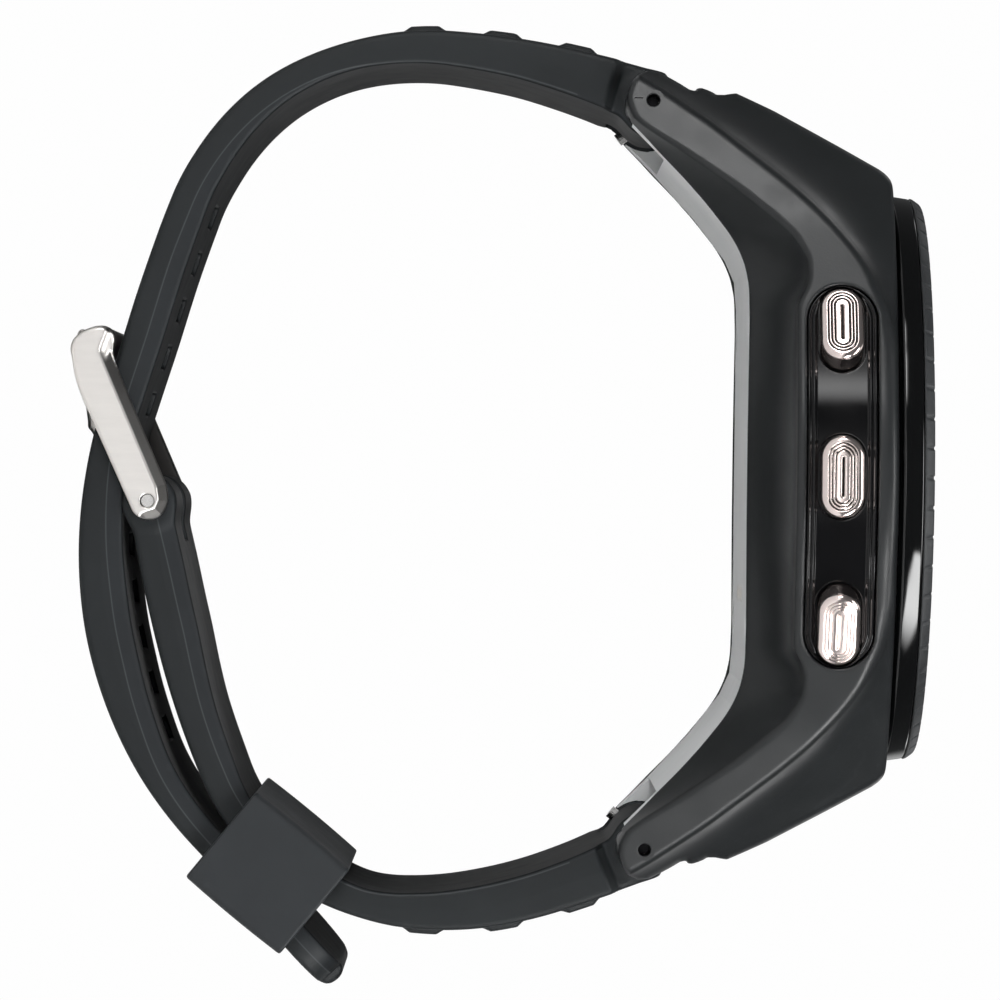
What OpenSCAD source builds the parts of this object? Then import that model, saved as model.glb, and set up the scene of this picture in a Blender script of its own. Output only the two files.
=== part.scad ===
// Golf GPS watch, buckled shut.
// Frame: origin on the case axis at the wrist plane of the back plate,
// +X to 3 o'clock (button side), +Y to 12 o'clock, +Z out through the lens. Millimetres.

/* [Bezel and lens] */
// Outside diameter of the bezel
bezel_d = 46; // [44:0.5:47]
// Height of the bezel's top edge above the wrist plane
bezel_top = 14.15; // [14:0.05:14.6]
// Diameter of the lens
lens_d = 38; // [36:0.5:38.2]
// Thickness of the lens
lens_t = 1.55; // [1.2:0.05:1.6]

/* [Case] */
// Radius of the case's round side wall in plan
case_r = 23.5; // [23.2:0.1:24.2]
// Height of the case's top face, where the bezel seats
case_top = 11.4; // [11.3:0.05:11.5]
// Radius of the bay that holds the electronics
bay_r = 19.5; // [19.4:0.1:19.8]
// Distance of each strap pivot from the case axis
lug_y = 29.6; // [29.4:0.1:29.8]
// Height of each strap pivot (negative is towards the wrist)
lug_z = -7.93; // [-8.1:0.01:-7.8]
// Gap between the two lugs of a pair
lug_gap = 20.6; // [20.4:0.1:20.8]
// Distance between the outer faces of a pair of lugs
lug_span = 28.4; // [28:0.1:29]

/* [Buttons] */
// Angle between neighbouring buttons round the case
button_pitch = 29; // [28:0.5:30]
// Length of a button's face
button_l = 6.4; // [6:0.1:6.8]
// Height of a button's face
button_h = 3.4; // [3.2:0.1:3.6]
// Height of the button axes above the wrist plane
button_z = 6.85; // [6.7:0.05:7]
// Radius at which the button faces stand
button_face_r = 25; // [24.4:0.1:25.2]

/* [Straps] */
// Width of both straps outside the lugs
strap_w = 22.4; // [22:0.1:22.5]
// Width of the strap ends that sit between the lugs
strap_end_w = 20; // [19.8:0.1:20.2]
// Spacing of the adjustment holes
hole_pitch = 4.05; // [3.9:0.05:4.1]
// Length of an adjustment hole along the strap
hole_l = 1.9; // [1.6:0.1:2]
// Width of an adjustment hole
hole_w = 5.6; // [4.5:0.1:6]
// Height of the raised ribs near the lugs
rib_h = 0.55; // [0.3:0.05:0.7]

/* [Keeper] */
// Length of the keeper along the strap
keeper_l = 9.7; // [8:0.1:10]
// Outside width of the keeper
keeper_w = 25.2; // [25:0.1:26]

/* [Buckle] */
// Width of the buckle across its arms
buckle_w = 26; // [25.6:0.1:27]
// Thickness of each buckle arm
arm_t = 1.5; // [1.3:0.1:1.5]

/* [Spring bars] */
// Outside radius of the spring bar tubes
bar_r = 0.9; // [0.85:0.01:0.9]
// Radius of the spring bar tips
tip_r = 0.5; // [0.48:0.01:0.5]

/* [Hidden] */
$fn = 48;
NODES = [
  "case_body", "bezel", "bezel_ring", "lens", "lens_gasket", "display_panel",
  "light_guide", "display_frame", "main_board", "board_chips", "shield_can",
  "gps_antenna", "battery", "vibration_motor", "buzzer", "tact_switches",
  "back_plate", "back_gasket", "back_screws", "charge_contacts", "button_panel",
  "button_seals", "button_upper", "button_middle", "button_lower",
  "button_clip_upper", "button_clip_middle", "button_clip_lower",
  "button_spring_upper", "button_spring_middle", "button_spring_lower",
  "strap_long", "bar_tube_long", "bar_pin_long_near", "bar_pin_long_release", "bar_spring_long",
  "strap_short", "bar_tube_short", "bar_pin_short_near", "bar_pin_short_release",
  "bar_spring_short", "buckle_frame", "buckle_tongue", "buckle_bar_tube", "buckle_pin_near",
  "buckle_pin_far", "buckle_bar_spring", "keeper"];
node = "all";

// Each strap is named by the sign of Y at its lugs.
LONG = -1;
SHORT = 1;

// Heights of the stacked parts
bay_floor = 2.4;
board_z = 7.6;
board_t = 0.7;
board_top = board_z + board_t;
frame_z = 9.4;
frame_t = 0.6;
guide_z = frame_z + frame_t;
guide_t = 0.4;
display_z = guide_z + guide_t;
gasket_z = 12.2;
gasket_t = 0.3;
lens_z = gasket_z + gasket_t;
ring_z = 13.3;

// ---- helpers
// 2-D profiles are drawn in the (Y, Z) plane and extruded along X, centred unless x_start is given.
module along_x(width, x_start = undef) {
  rotate([90, 0, 90])
    translate([0, 0, x_start == undef ? -width / 2 : x_start]) linear_extrude(width) children();
}
module rod_x(radius, x0, x1) {
  rotate([90, 0, 90]) translate([0, 0, x0]) cylinder(r = radius, h = x1 - x0);
}
// Moves children to a (Y, Z) point.
module at_yz(point) { translate([0, point[0], point[1]]) children(); }
// Cutter for a hole right across the watch at a (Y, Z) point.
module cross_bore(point, radius) { at_yz(point) rod_x(radius, -20, 20); }
module mirrored_x() { for (m = [0, 1]) mirror([m, 0, 0]) children(); }
module mirrored_y() { for (m = [0, 1]) mirror([0, m, 0]) children(); }
module ring(outer_r, inner_r, height) {
  difference() {
    cylinder(r = outer_r, h = height);
    translate([0, 0, -1]) cylinder(r = inner_r, h = 3);
  }
}
// Stadium prism along the local Z axis, long side along local X.
module stadium(length, height, depth) {
  for (m = [-1, 1]) translate([m * (length - height) / 2, 0, 0]) cylinder(r = height / 2, h = depth);
  translate([-(length - height) / 2, -height / 2, 0]) cube([length - height, height, depth]);
}

function unit(v) = v / norm(v);
function left_normal(path, i) = let (d = unit(path[i + 1] - path[i])) [-d[1], d[0]];
// Mitred normal at point i; times a distance, it moves the path that far to its left.
function mitre(path, i) = i == 0 ? left_normal(path, 0)
  : i == len(path) - 1 ? left_normal(path, i - 1)
  : let (a = left_normal(path, i - 1), b = left_normal(path, i)) (a + b) / (1 + a * b);
function beside(path, distance) =
  [for (i = [0:len(path) - 1]) path[i] + distance * mitre(path, i)];
function reversed(path) = [for (i = [len(path) - 1:-1:0]) path[i]];

// ---- strap centre lines: chains of tangent arcs, each [length, bend in degrees]
long_arcs = [[16.6, 13.5], [12.9, 32.1], [12.3, 42.2], [17.9, 3.1], [16, 26], [19.9, 33.5],
  [14.9, 0]];
short_arcs = [[8.1, -5.9], [11.8, -20.6], [18.5, -64.2], [11.3, -9.2], [11.5, -5.5]];
// Headings at the lugs, degrees from +Y towards +Z
long_heading = -107.9;
short_heading = -65.5;

// Depth of each face from the centre line: [distance along strap, depth]
long_outer = [[0, 2.75], [5, 2.62], [11, 2.58], [17, 2.48], [20, 2.4], [23, 2.26], [29, 2.08],
  [35, 1.74], [38, 1.62], [44, 1.75], [50, 1.68], [56, 1.48], [65, 1.4], [77, 1.5], [89, 1.42],
  [97, 1.2], [112, 1.12]];
long_inner = [[0, 1.9], [5, 1.28], [8, 0.96], [11, 0.62], [17, 0.28], [23, 0.1], [26, 0.12],
  [29, 0.34], [32, 0.7], [35, 1.04], [38, 1.3], [47, 1.38], [53, 1.6], [62, 1.6], [72, 1.5],
  [90, 1.2], [112, 1.15]];
short_outer = [[0, 2.75], [5, 2.55], [14, 2.42], [17, 2.28], [20, 2.05], [23, 1.72], [26, 1.6],
  [36, 1.55], [62, 1.65]];
short_inner = [[0, 1.7], [5, 1.3], [11, 1.12], [14, 1.0], [17, 0.82], [23, 0.6], [26, 1.0],
  [29, 1.2], [36, 1.2], [39, 1.42], [44, 1.55], [50, 1.95], [56, 1.95], [62, 1.65]];
function outer_depth(side, s) = lookup(s, side == LONG ? long_outer : short_outer);
function inner_depth(side, s) = lookup(s, side == LONG ? long_inner : short_inner);

// [y, z, heading] at distance s along an arc that begins at start, then along a chain of arcs.
function arc_at(start, arc, s) = let (length = arc[0], bend = arc[1], heading = start[2])
  bend == 0 ? [start[0] + s * cos(heading), start[1] + s * sin(heading), heading]
  : let (radius = length * 180 / (PI * bend), turned = heading + bend * s / length)
    [start[0] + radius * (sin(turned) - sin(heading)),
     start[1] - radius * (cos(turned) - cos(heading)), turned];
function chain_at(start, arcs, s, i = 0) = (i == len(arcs) - 1 || s <= arcs[i][0])
  ? arc_at(start, arcs[i], s)
  : chain_at(arc_at(start, arcs[i], arcs[i][0]), arcs, s - arcs[i][0], i + 1);
function total(arcs, i = 0) = i == len(arcs) ? 0 : arcs[i][0] + total(arcs, i + 1);
long_len = total(long_arcs);
short_len = total(short_arcs);

function pivot(side) = [side * lug_y, lug_z];
function centre_at(side, s) = side == LONG
  ? chain_at([-lug_y, lug_z, long_heading], long_arcs, s)
  : chain_at([lug_y, lug_z, short_heading], short_arcs, s);
// Point at s along a strap and depth across its thickness, positive away from the wrist.
function strap_pt(side, s, depth) = let (c = centre_at(side, s), across = c[2] + side * 90)
  [c[0] + depth * cos(across), c[1] + depth * sin(across)];
buckle_bar = let (c = centre_at(SHORT, short_len)) [c[0], c[1]];

// ---- case
// Wrist side of the half profile, (Y, Z)
back_curve = [[0, 0], [14, 0], [16.4, -0.2], [18.2, -1], [21.6, -3.6], [25.4, -7.1], [27.8, -9.5]];
// Half profile (Y, Z): along the back, round the lug's tip and up to the bezel seat
side_half = concat(back_curve, [[29.4, -10.2], [31.6, -9.5], [32.5, -7.9], [31.5, -6],
  [30.6, -4.6], [31.1, -4.2], [30.8, -3.2], [30.4, -2.6], [30.9, -0.6], [25, 10.2], [24.2, 11.1],
  [23, case_top], [0, case_top]]);
plate_w = 28;
plate_t = 1.4;
plate_gap = 0.02;
lug_slot_r = 3.35;
lug_slot_end = lug_y + 8;
panel_l = 29.9;
panel_h = 5.5;
panel_inner_r = 22.15;
screw_xy = 11.8;
post_z = 2;

// Round head blended into the two pairs of lugs by straight flanks.
module plan_outline() {
  circle(r = case_r, $fn = 144);
  mirrored_y()
    polygon([[-22.2, 7.5], [22.2, 7.5], [19.2, 20.2], [lug_span / 2, 33], [-lug_span / 2, 33],
      [-19.2, 20.2]]);
}
// Section of the back plate: flat under the watch, then down the inside of the lugs.
module plate_profile(gap) {
  mirrored_x()
    polygon(concat(beside(back_curve, -gap), reversed(beside(back_curve, plate_t + gap))));
}
// Everything on the wrist side of the back.
module back_side(lift) {
  half = [for (p = back_curve) p + [0, lift]];
  polygon(concat(half, [[40, lift - 21.2], [40, -40], [-40, -40], [-40, lift - 21.2]],
    [for (p = reversed(half)) [-p[0], p[1]]]));
}
module at_screws(offset = screw_xy) {
  for (x = [-offset, offset], y = [-offset, offset]) translate([x, y, 0]) children();
}
// Local Z points outwards at the given angle round the case, local Y up.
module radial(angle) {
  rotate([0, 0, angle]) translate([0, 0, button_z])
    rotate([0, 90, 0]) rotate([0, 0, 90]) children();
}
module at_buttons() { for (i = [-1:1]) radial(i * button_pitch) children(); }
module panel_shape(length, height, inner_r, outer_r) {
  intersection() {
    rotate([0, 0, -50]) rotate_extrude(angle = 100, $fn = 144)
      translate([inner_r, button_z - 5]) square([outer_r - inner_r, 10]);
    radial(0) stadium(length, height, 40);
  }
}
module lug_slot() {
  along_x(lug_gap) translate(pivot(SHORT)) circle(r = lug_slot_r);
  along_x(lug_gap) polygon([[lug_y, lug_z - lug_slot_r], [lug_slot_end, lug_z - lug_slot_r],
    [lug_slot_end, lug_z + lug_slot_r], [lug_y, lug_z + lug_slot_r]]);
  along_x(lug_gap) polygon([[26.2, lug_z - 5], [lug_slot_end, lug_z - 5],
    [lug_slot_end, lug_z - 0.5], [26.3, lug_z - 0.5]]);
}
// Pocket for the head, spring recess, stem bore and seal recess.
module button_seat() {
  translate([0, 0, 21.6]) stadium(button_l + 0.16, button_h + 0.16, 8);
  translate([0, 0, 20.6]) cylinder(r = 1.5, h = 1.5);
  translate([0, 0, 18]) cylinder(r = 0.85, h = 4);
  translate([0, 0, 18]) cylinder(r = 1.45, h = 2.1);
}

module case_body() color([0.09, 0.09, 0.10]) difference() {
  intersection() {
    along_x(60) mirrored_x() polygon(side_half);
    translate([0, 0, -12]) linear_extrude(26) plan_outline();
  }
  // flanks slope from the side wall in to the back plate, following its bend
  mirrored_x() hull() {
    along_x(0.1, 14.3) back_side(0);
    along_x(0.1, 24.4) back_side(3.6);
  }
  // electronics bay with four screw posts left standing
  difference() {
    translate([0, 0, bay_floor]) cylinder(r = bay_r, h = 12, $fn = 144);
    at_screws() translate([0, 0, post_z]) cylinder(r = 1.6, h = frame_z - post_z);
  }
  // service opening and gasket seat
  translate([0, 0, 0.5]) cylinder(r = 12.5, h = 4, $fn = 96);
  translate([0, 0, 1.3]) ring(13.8, 13, 0.7);
  at_screws() cylinder(r = 0.72, h = 7.5);
  // recess for the back plate
  along_x(plate_w + 2 * plate_gap) plate_profile(plate_gap);
  mirrored_y() {
    lug_slot();
    cross_bore(pivot(SHORT), 0.55);
  }
  // side panel slot and the three button seats
  panel_shape(panel_l + 0.1, panel_h + 0.1, panel_inner_r - 0.05, 40);
  at_buttons() button_seat();
}

// ---- bezel, lens and display
bezel_r = bezel_d / 2;
lens_r = lens_d / 2;
lens_pocket_r = lens_r + 0.1;
lens_rim_top = bezel_top - 0.05;
lens_bevel = 0.3;
bezel_ring_inner_r = 19.65;

module bezel() color([0.03, 0.03, 0.035]) rotate_extrude($fn = 180)
  polygon([[17.8, 10.6], [19.4, 10.6], [19.4, case_top], [22.5, case_top],
    [22.5, case_top + 0.15], [bezel_r, case_top + 0.25], [bezel_r, ring_z], [19.6, ring_z],
    [19.6, lens_rim_top], [lens_pocket_r, lens_rim_top], [lens_pocket_r, gasket_z],
    [17.8, gasket_z]]);
module bezel_ring() color([0.12, 0.12, 0.13]) rotate_extrude($fn = 180)
  polygon([[bezel_ring_inner_r, ring_z], [bezel_r, ring_z], [bezel_r - 0.55, bezel_top],
    [bezel_ring_inner_r, bezel_top]]);
module lens() color([0.05, 0.06, 0.07]) translate([0, 0, lens_z]) {
  cylinder(r = lens_r, h = lens_t - lens_bevel, $fn = 180);
  translate([0, 0, lens_t - lens_bevel])
    cylinder(r1 = lens_r, r2 = lens_r - lens_bevel, h = lens_bevel, $fn = 180);
}
module lens_gasket() color([0.1, 0.1, 0.1])
  rotate_extrude($fn = 96) translate([18, gasket_z]) square([0.9, gasket_t]);
module display_panel() color([0.04, 0.05, 0.06])
  translate([0, 0, display_z]) cylinder(r = 17.5, h = 1.2, $fn = 120);
module light_guide() color([0.85, 0.87, 0.88])
  translate([0, 0, guide_z]) cylinder(r = 17.3, h = guide_t, $fn = 120);
module display_frame() color([0.2, 0.2, 0.21]) translate([0, 0, frame_z]) difference() {
  cylinder(r = 19.2, h = frame_t, $fn = 120);
  translate([0, 0, -1]) cylinder(r = 10, h = 3, $fn = 96);
  at_screws(screw_xy * 1.15) translate([0, 0, -1]) cylinder(r = 0.6, h = 3);
}

// ---- electronics
// Chips on the board: [x, y, [length, width, height]]
chips = [[-13, -3, [5, 5, 0.9]], [-12.5, 4, [3.5, 4, 0.8]], [7, -8, [4, 4, 0.8]],
  [6, 4, [3, 3, 0.7]], [-4, 9.5, [6, 3, 0.8]]];
buzzer_y = 14.4;

module main_board() color([0.05, 0.25, 0.12]) translate([0, 0, board_z]) difference() {
  cylinder(r = 17.8, h = board_t, $fn = 120);
  at_screws() translate([0, 0, -1]) cylinder(r = 2.0, h = 3);
}
module board_chips() color([0.08, 0.08, 0.09])
  for (chip = chips) translate([chip[0], chip[1], board_top]) cube(chip[2]);
// Can with 0.2 walls and roof, open towards the board.
module shield_can() color([0.75, 0.75, 0.76]) translate([-6, -8, board_top]) difference() {
  cube([12, 14, 1.0]);
  translate([0.2, 0.2, -1]) cube([11.6, 13.6, 1.8]);
}
module gps_antenna() color([0.8, 0.6, 0.35]) rotate([0, 0, 100])
  rotate_extrude(angle = 160, $fn = 120) translate([18.45, board_z]) square([0.75, 1.7]);
module battery() color([0.6, 0.62, 0.65]) translate([-12.5, -9.6, 2.5]) cube([25, 19.2, 4.6]);
module vibration_motor() color([0.7, 0.7, 0.72])
  translate([0, -buzzer_y, bay_floor]) cylinder(r = 4, h = 2.7);
module buzzer() color([0.1, 0.1, 0.1]) translate([0, buzzer_y, bay_floor]) difference() {
  cylinder(r = 4, h = 2.4);
  translate([0, 0, 1.6]) cylinder(r = 0.8, h = 2);
}
module tact_switches() color([0.75, 0.75, 0.78]) at_buttons() {
  translate([-2, -1.27, 15.85]) cube([4, 2, 0.95]);
  translate([0, 0, 16.7]) cylinder(r = 0.7, h = 0.8);
}

// ---- back
contact_pitch = 2.5;
contact_y = 9.5;
plate_lug_y = 25.2; // the plate narrows into the lugs beyond here

module at_contacts() {
  for (i = [-1.5:1:1.5]) translate([i * contact_pitch, contact_y, 0]) children();
}
module back_plate() color([0.82, 0.83, 0.84]) difference() {
  along_x(plate_w) plate_profile(0);
  mirrored_y() along_x(lug_gap + 0.2)
    polygon([[plate_lug_y, -12], [40, -12], [40, 2], [plate_lug_y, 2]]);
  at_screws() {
    translate([0, 0, -1]) cylinder(r = 0.8, h = 4);
    translate([0, 0, -1]) cylinder(r = 1.35, h = 1.7);
  }
  at_contacts() translate([0, 0, -1]) cylinder(r = 0.72, h = 4);
}
module back_gasket() color([0.15, 0.15, 0.16])
  translate([0, 0, plate_t]) ring(13.7, 13.1, 0.58);
// Head, shank and hexagon socket.
module back_screws() color([0.5, 0.5, 0.52]) at_screws() translate([0, 0, 0.1]) difference() {
  union() {
    cylinder(r = 1.25, h = 0.55);
    cylinder(r = 0.66, h = 6.4);
  }
  translate([0, 0, -1]) cylinder(r = 0.45, h = 1.35, $fn = 6);
}
module charge_contacts() color([0.9, 0.75, 0.4]) at_contacts() translate([0, 0, 0.05]) {
  cylinder(r = 0.68, h = 1.3);
  translate([0, 0, 1.3]) cylinder(r = 0.4, h = 1);
}

// ---- buttons, each drawn along its own axis; local Z is the radius from the case axis
button_back_r = 22.25; // back of the head
groove_floor_r = button_face_r - 0.25;
stem_r = 0.8;
coil_start_r = 20.78;
coil_pitch = 0.42;
coil_r = 1.2;

module button_panel() color([0.02, 0.02, 0.025]) difference() {
  panel_shape(panel_l, panel_h, panel_inner_r, 23.05);
  at_buttons() translate([0, 0, 20]) stadium(button_l + 0.24, button_h + 0.24, 8);
}
module button_seals() color([0.1, 0.1, 0.1])
  at_buttons() translate([0, 0, 19.5]) ring(1.42, 0.84, 0.55);
// Stadium head with a groove round a central slot in its face, and a stem with a clip groove.
module button(angle) color([0.86, 0.72, 0.66]) radial(angle) {
  difference() {
    translate([0, 0, button_back_r]) stadium(button_l, button_h, button_face_r - button_back_r);
    translate([0, 0, groove_floor_r]) difference() {
      stadium(button_l - 1.1, button_h - 1.1, 1);
      translate([0, 0, -1]) stadium(button_l - 1.7, button_h - 1.7, 3);
    }
    translate([0, 0, groove_floor_r]) stadium(button_l - 3, 0.5, 1);
  }
  translate([0, 0, 19.25]) cylinder(r = stem_r, h = 3.01);
  translate([0, 0, 18.9]) cylinder(r = 0.5, h = 0.4);
  translate([0, 0, 18.15]) cylinder(r = stem_r, h = 0.76);
}
// Split ring in the stem's groove.
module button_clip(angle) color([0.6, 0.6, 0.62])
  radial(angle) translate([0, 0, 18.94]) difference() {
    ring(1.3, 0.52, 0.28);
    translate([-0.4, 0, -1]) cube([0.8, 3, 3]);
  }
// Return spring, its coils drawn as a stack of rings tied by two rails.
module button_spring(angle) color([0.7, 0.7, 0.72]) radial(angle) {
  for (i = [0:3]) translate([0, 0, coil_start_r + coil_pitch * i])
    rotate_extrude() translate([coil_r, 0]) circle(r = 0.14, $fn = 16);
  for (turn = [0, 180]) rotate([0, 0, turn])
    translate([coil_r, 0, coil_start_r]) cylinder(r = 0.1, h = 3 * coil_pitch, $fn = 16);
}

// ---- straps
shoulder = 3.2; // the straps widen this far from their pivots
bar_bore_r = 0.95;
rib_pitch = 5.95;
first_hole = 41.9; // distance along the long strap
hole_count = 12;
tongue_hole = 5; // index of the hole in use

// Side section of a strap between two distances along it.
module strap_band(side, start, end) {
  count = ceil((end - start) / 1.5);
  stations = [for (i = [0:count]) start + (end - start) * i / count];
  polygon(concat([for (s = stations) strap_pt(side, s, outer_depth(side, s))],
    [for (s = reversed(stations)) strap_pt(side, s, -inner_depth(side, s))]));
}
// Section of a cutter through a strap.
module strap_cut(side, start, end, depth) {
  polygon([strap_pt(side, start, depth), strap_pt(side, end, depth),
    strap_pt(side, end, -depth), strap_pt(side, start, -depth)]);
}
// Narrow end between the lugs, and the ribs next to it.
module lug_end(side) {
  along_x(strap_end_w) {
    strap_band(side, 0, shoulder + 1);
    translate(pivot(side)) circle(r = 2.6);
  }
  for (i = [0:2]) {
    start = (side == LONG ? 5 : 4.75) + i * rib_pitch;
    face = outer_depth(side, start + 1.5);
    along_x(17) polygon([strap_pt(side, start, face - 0.4),
      strap_pt(side, start + 0.8, face + rib_h), strap_pt(side, start + 2.8, face + rib_h),
      strap_pt(side, start + 3.6, face - 0.4)]);
  }
}
// Spring bar hole and the window for the quick-release knob.
module lug_end_cuts(side) {
  cross_bore(pivot(side), bar_bore_r);
  window_y = side * (lug_y - 4);
  along_x(4.6, -9.4) polygon([[side * lug_y, lug_z + 1], [window_y, lug_z + 1],
    [window_y, lug_z - 5], [side * lug_y, lug_z - 3.2]]);
}
module strap_long() color([0.20, 0.22, 0.25]) difference() {
  union() {
    lug_end(LONG);
    along_x(strap_w) strap_band(LONG, shoulder, long_len - 3);
    // stepped tip
    along_x(strap_w - 5) strap_band(LONG, long_len - 4, long_len);
    along_x(strap_w - 1.6) strap_band(LONG, long_len - 4, long_len - 1.4);
  }
  lug_end_cuts(LONG);
  for (i = [0:hole_count - 1]) if (i != tongue_hole) {
    s = first_hole + i * hole_pitch;
    along_x(hole_w) strap_cut(LONG, s - hole_l / 2, s + hole_l / 2, 3);
  }
  // the hole in use is drawn out along the slanting tongue
  along_x(3) polygon([crossing_pt(2, -0.85, 1.1), crossing_pt(3, -0.85, -1.0),
    crossing_pt(3, 0.85, -1.0), crossing_pt(2, 0.85, 1.1)]);
}
module strap_short() color([0.20, 0.22, 0.25]) difference() {
  union() {
    lug_end(SHORT);
    along_x(strap_w) strap_band(SHORT, shoulder, short_len - 1.2);
    along_x(strap_w) translate(buckle_bar) circle(r = 2.2);
  }
  lug_end_cuts(SHORT);
  cross_bore(buckle_bar, bar_bore_r);
  // slot for the tongue's eye
  along_x(4.4) strap_cut(SHORT, short_len - 3.4, short_len + 5, 4);
}

// ---- spring bars, each centred on a (Y, Z) point; half is half the tube's length
lug_bar_half = 9.7;
lug_tip_reach = 2.2; // tips stand out of the tube this far
buckle_bar_half = 10.9;
buckle_tip_reach = 1.7;
knob_tilt = 143; // direction of the release knob, degrees from +Z towards the case axis
spring_inset = 2.9;
spring_gaps = 12;
spring_r = 0.55;

// Tube with a wide middle bore for the spring and narrow ends that keep the pins in;
// a side other than 0 cuts the knob's slot.
module bar_tube(centre, half, side = 0) color([0.75, 0.75, 0.77]) at_yz(centre) difference() {
  rod_x(bar_r, -half, half);
  rod_x(0.72, -half + 1, half - 1);
  rod_x(0.54, -half - 1, half + 1);
  if (side != 0) rotate([side * knob_tilt, 0, 0]) translate([-8.5, -0.5, 0]) cube([2.9, 1, 3]);
}
// Pin at the +X end: tip and wider collar.
module bar_pin(centre, half, reach) color([0.8, 0.8, 0.82]) at_yz(centre) {
  rod_x(tip_r, half - 1.1, half + reach);
  rod_x(0.68, half - 2.7, half - 1.05);
}
module far_pin(centre, half, reach) { mirror([1, 0, 0]) bar_pin(centre, half, reach); }
module release_pin(side) color([0.8, 0.8, 0.82]) {
  far_pin(pivot(side), lug_bar_half, lug_tip_reach);
  at_yz(pivot(side)) rotate([side * knob_tilt, 0, 0]) translate([-7.75, 0, 0]) {
    cylinder(r = 0.4, h = 1.6);
    translate([0, 0, 1.5]) cylinder(r = 0.52, h = 1.4);
  }
}
// Coils drawn as rings tied by two rails.
module bar_spring(centre, half) color([0.65, 0.65, 0.67]) at_yz(centre) {
  end = half - spring_inset;
  for (i = [0:spring_gaps]) translate([-end + 2 * end * i / spring_gaps, 0, 0])
    rotate([0, 90, 0]) rotate_extrude() translate([spring_r, 0]) circle(r = 0.12, $fn = 13);
  for (turn = [0, 180]) rotate([turn, 0, 0])
    translate([0, spring_r, 0]) rod_x(0.09, -end, end, $fn = 14);
}

// ---- buckle
// Tongue's centre line (Y, Z) from the buckle bar: along the long strap's wrist side,
// down through its hole, then out to the notch.
tongue_path = [[0, 0], [-2.3, -0.75], [-3.0, -1.3], [-5.35, -4.7], [-6.1, -5.2], [-13.5, -6.2]];
function tongue_pt(i, across) = buckle_bar + tongue_path[i] + across * mitre(tongue_path, i);
// Point measured across and back along the crossing stretch from path point i.
function crossing_pt(i, across, back) = buckle_bar + tongue_path[i]
  + across * left_normal(tongue_path, 2) - back * unit(tongue_path[3] - tongue_path[2]);
// Outlines of an arm and of the crossbar that joins the arms, (Y, Z)
arm_outline = [[-9.9, -53.95], [-10.9, -53], [-11.4, -51.3], [-10.6, -50.75], [-9.4, -50.85],
  [0.3, -46.6], [1.2, -46.2], [2.49, -46.0], [3.7, -46.5], [4.1, -47.6], [3.7, -48.7],
  [2.6, -49.2], [-2.9, -51.7], [-6.7, -53.5]];
crossbar_outline = [[-9.9, -53.95], [-10.9, -53], [-11.4, -51.3], [-10.9, -50.35],
  [-9.7, -50.45], [-8.7, -51.2], [-8.6, -52.4], [-8.9, -53.75]];

module buckle_frame() color([0.72, 0.69, 0.66]) difference() {
  union() {
    mirrored_x() along_x(arm_t, buckle_w / 2 - arm_t) polygon(arm_outline);
    along_x(buckle_w - 1) polygon(crossbar_outline);
  }
  cross_bore(buckle_bar, 0.56);
  // notch that takes the tongue's tip
  beyond = [-4, -0.54];
  along_x(2.5) polygon([tongue_pt(4, -0.5), tongue_pt(5, -0.5) + beyond,
    tongue_pt(5, 4) + beyond, tongue_pt(4, 4)]);
}
module buckle_tongue() color([0.72, 0.69, 0.66]) difference() {
  union() {
    along_x(3.8) translate(buckle_bar) circle(r = 1.7);
    along_x(2.1) polygon(concat([for (i = [0:5]) tongue_pt(i, 0.45)],
      [for (i = [5:-1:0]) tongue_pt(i, -0.45)]));
  }
  cross_bore(buckle_bar, bar_bore_r);
}

// ---- keeper: a stiff straight loop round the short strap and the tail of the long one
keeper_mid = [32.02, -37.79];
keeper_angle = 51.06; // direction of the straps through it, from +Y towards +Z
// Point along the straps and out from the wrist, measured from the keeper's middle.
function keeper_pt(along, out) = keeper_mid
  + along * [cos(keeper_angle), sin(keeper_angle)] + out * [sin(keeper_angle), -cos(keeper_angle)];
module keeper_box(length, low, high) {
  end = length / 2;
  polygon([keeper_pt(-end, low), keeper_pt(end, low), keeper_pt(end, high), keeper_pt(-end, high)]);
}
module keeper() color([0.18, 0.20, 0.23]) difference() {
  along_x(keeper_w) keeper_box(keeper_l, -4.51, 4.51);
  along_x(strap_w + 0.9) keeper_box(keeper_l + 6, -3.75, 3.88);
}

module lug_tube(side) { bar_tube(pivot(side), lug_bar_half, side); }
module lug_pin(side) { bar_pin(pivot(side), lug_bar_half, lug_tip_reach); }
module lug_spring(side) { bar_spring(pivot(side), lug_bar_half); }

function shown(name) = node == "all" || node == name;
if (shown("case_body")) case_body();
if (shown("bezel")) bezel();
if (shown("bezel_ring")) bezel_ring();
if (shown("lens")) lens();
if (shown("lens_gasket")) lens_gasket();
if (shown("display_panel")) display_panel();
if (shown("light_guide")) light_guide();
if (shown("display_frame")) display_frame();
if (shown("main_board")) main_board();
if (shown("board_chips")) board_chips();
if (shown("shield_can")) shield_can();
if (shown("gps_antenna")) gps_antenna();
if (shown("battery")) battery();
if (shown("vibration_motor")) vibration_motor();
if (shown("buzzer")) buzzer();
if (shown("tact_switches")) tact_switches();
if (shown("back_plate")) back_plate();
if (shown("back_gasket")) back_gasket();
if (shown("back_screws")) back_screws();
if (shown("charge_contacts")) charge_contacts();
if (shown("button_panel")) button_panel();
if (shown("button_seals")) button_seals();
if (shown("button_upper")) button(button_pitch);
if (shown("button_middle")) button(0);
if (shown("button_lower")) button(-button_pitch);
if (shown("button_clip_upper")) button_clip(button_pitch);
if (shown("button_clip_middle")) button_clip(0);
if (shown("button_clip_lower")) button_clip(-button_pitch);
if (shown("button_spring_upper")) button_spring(button_pitch);
if (shown("button_spring_middle")) button_spring(0);
if (shown("button_spring_lower")) button_spring(-button_pitch);
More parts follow.
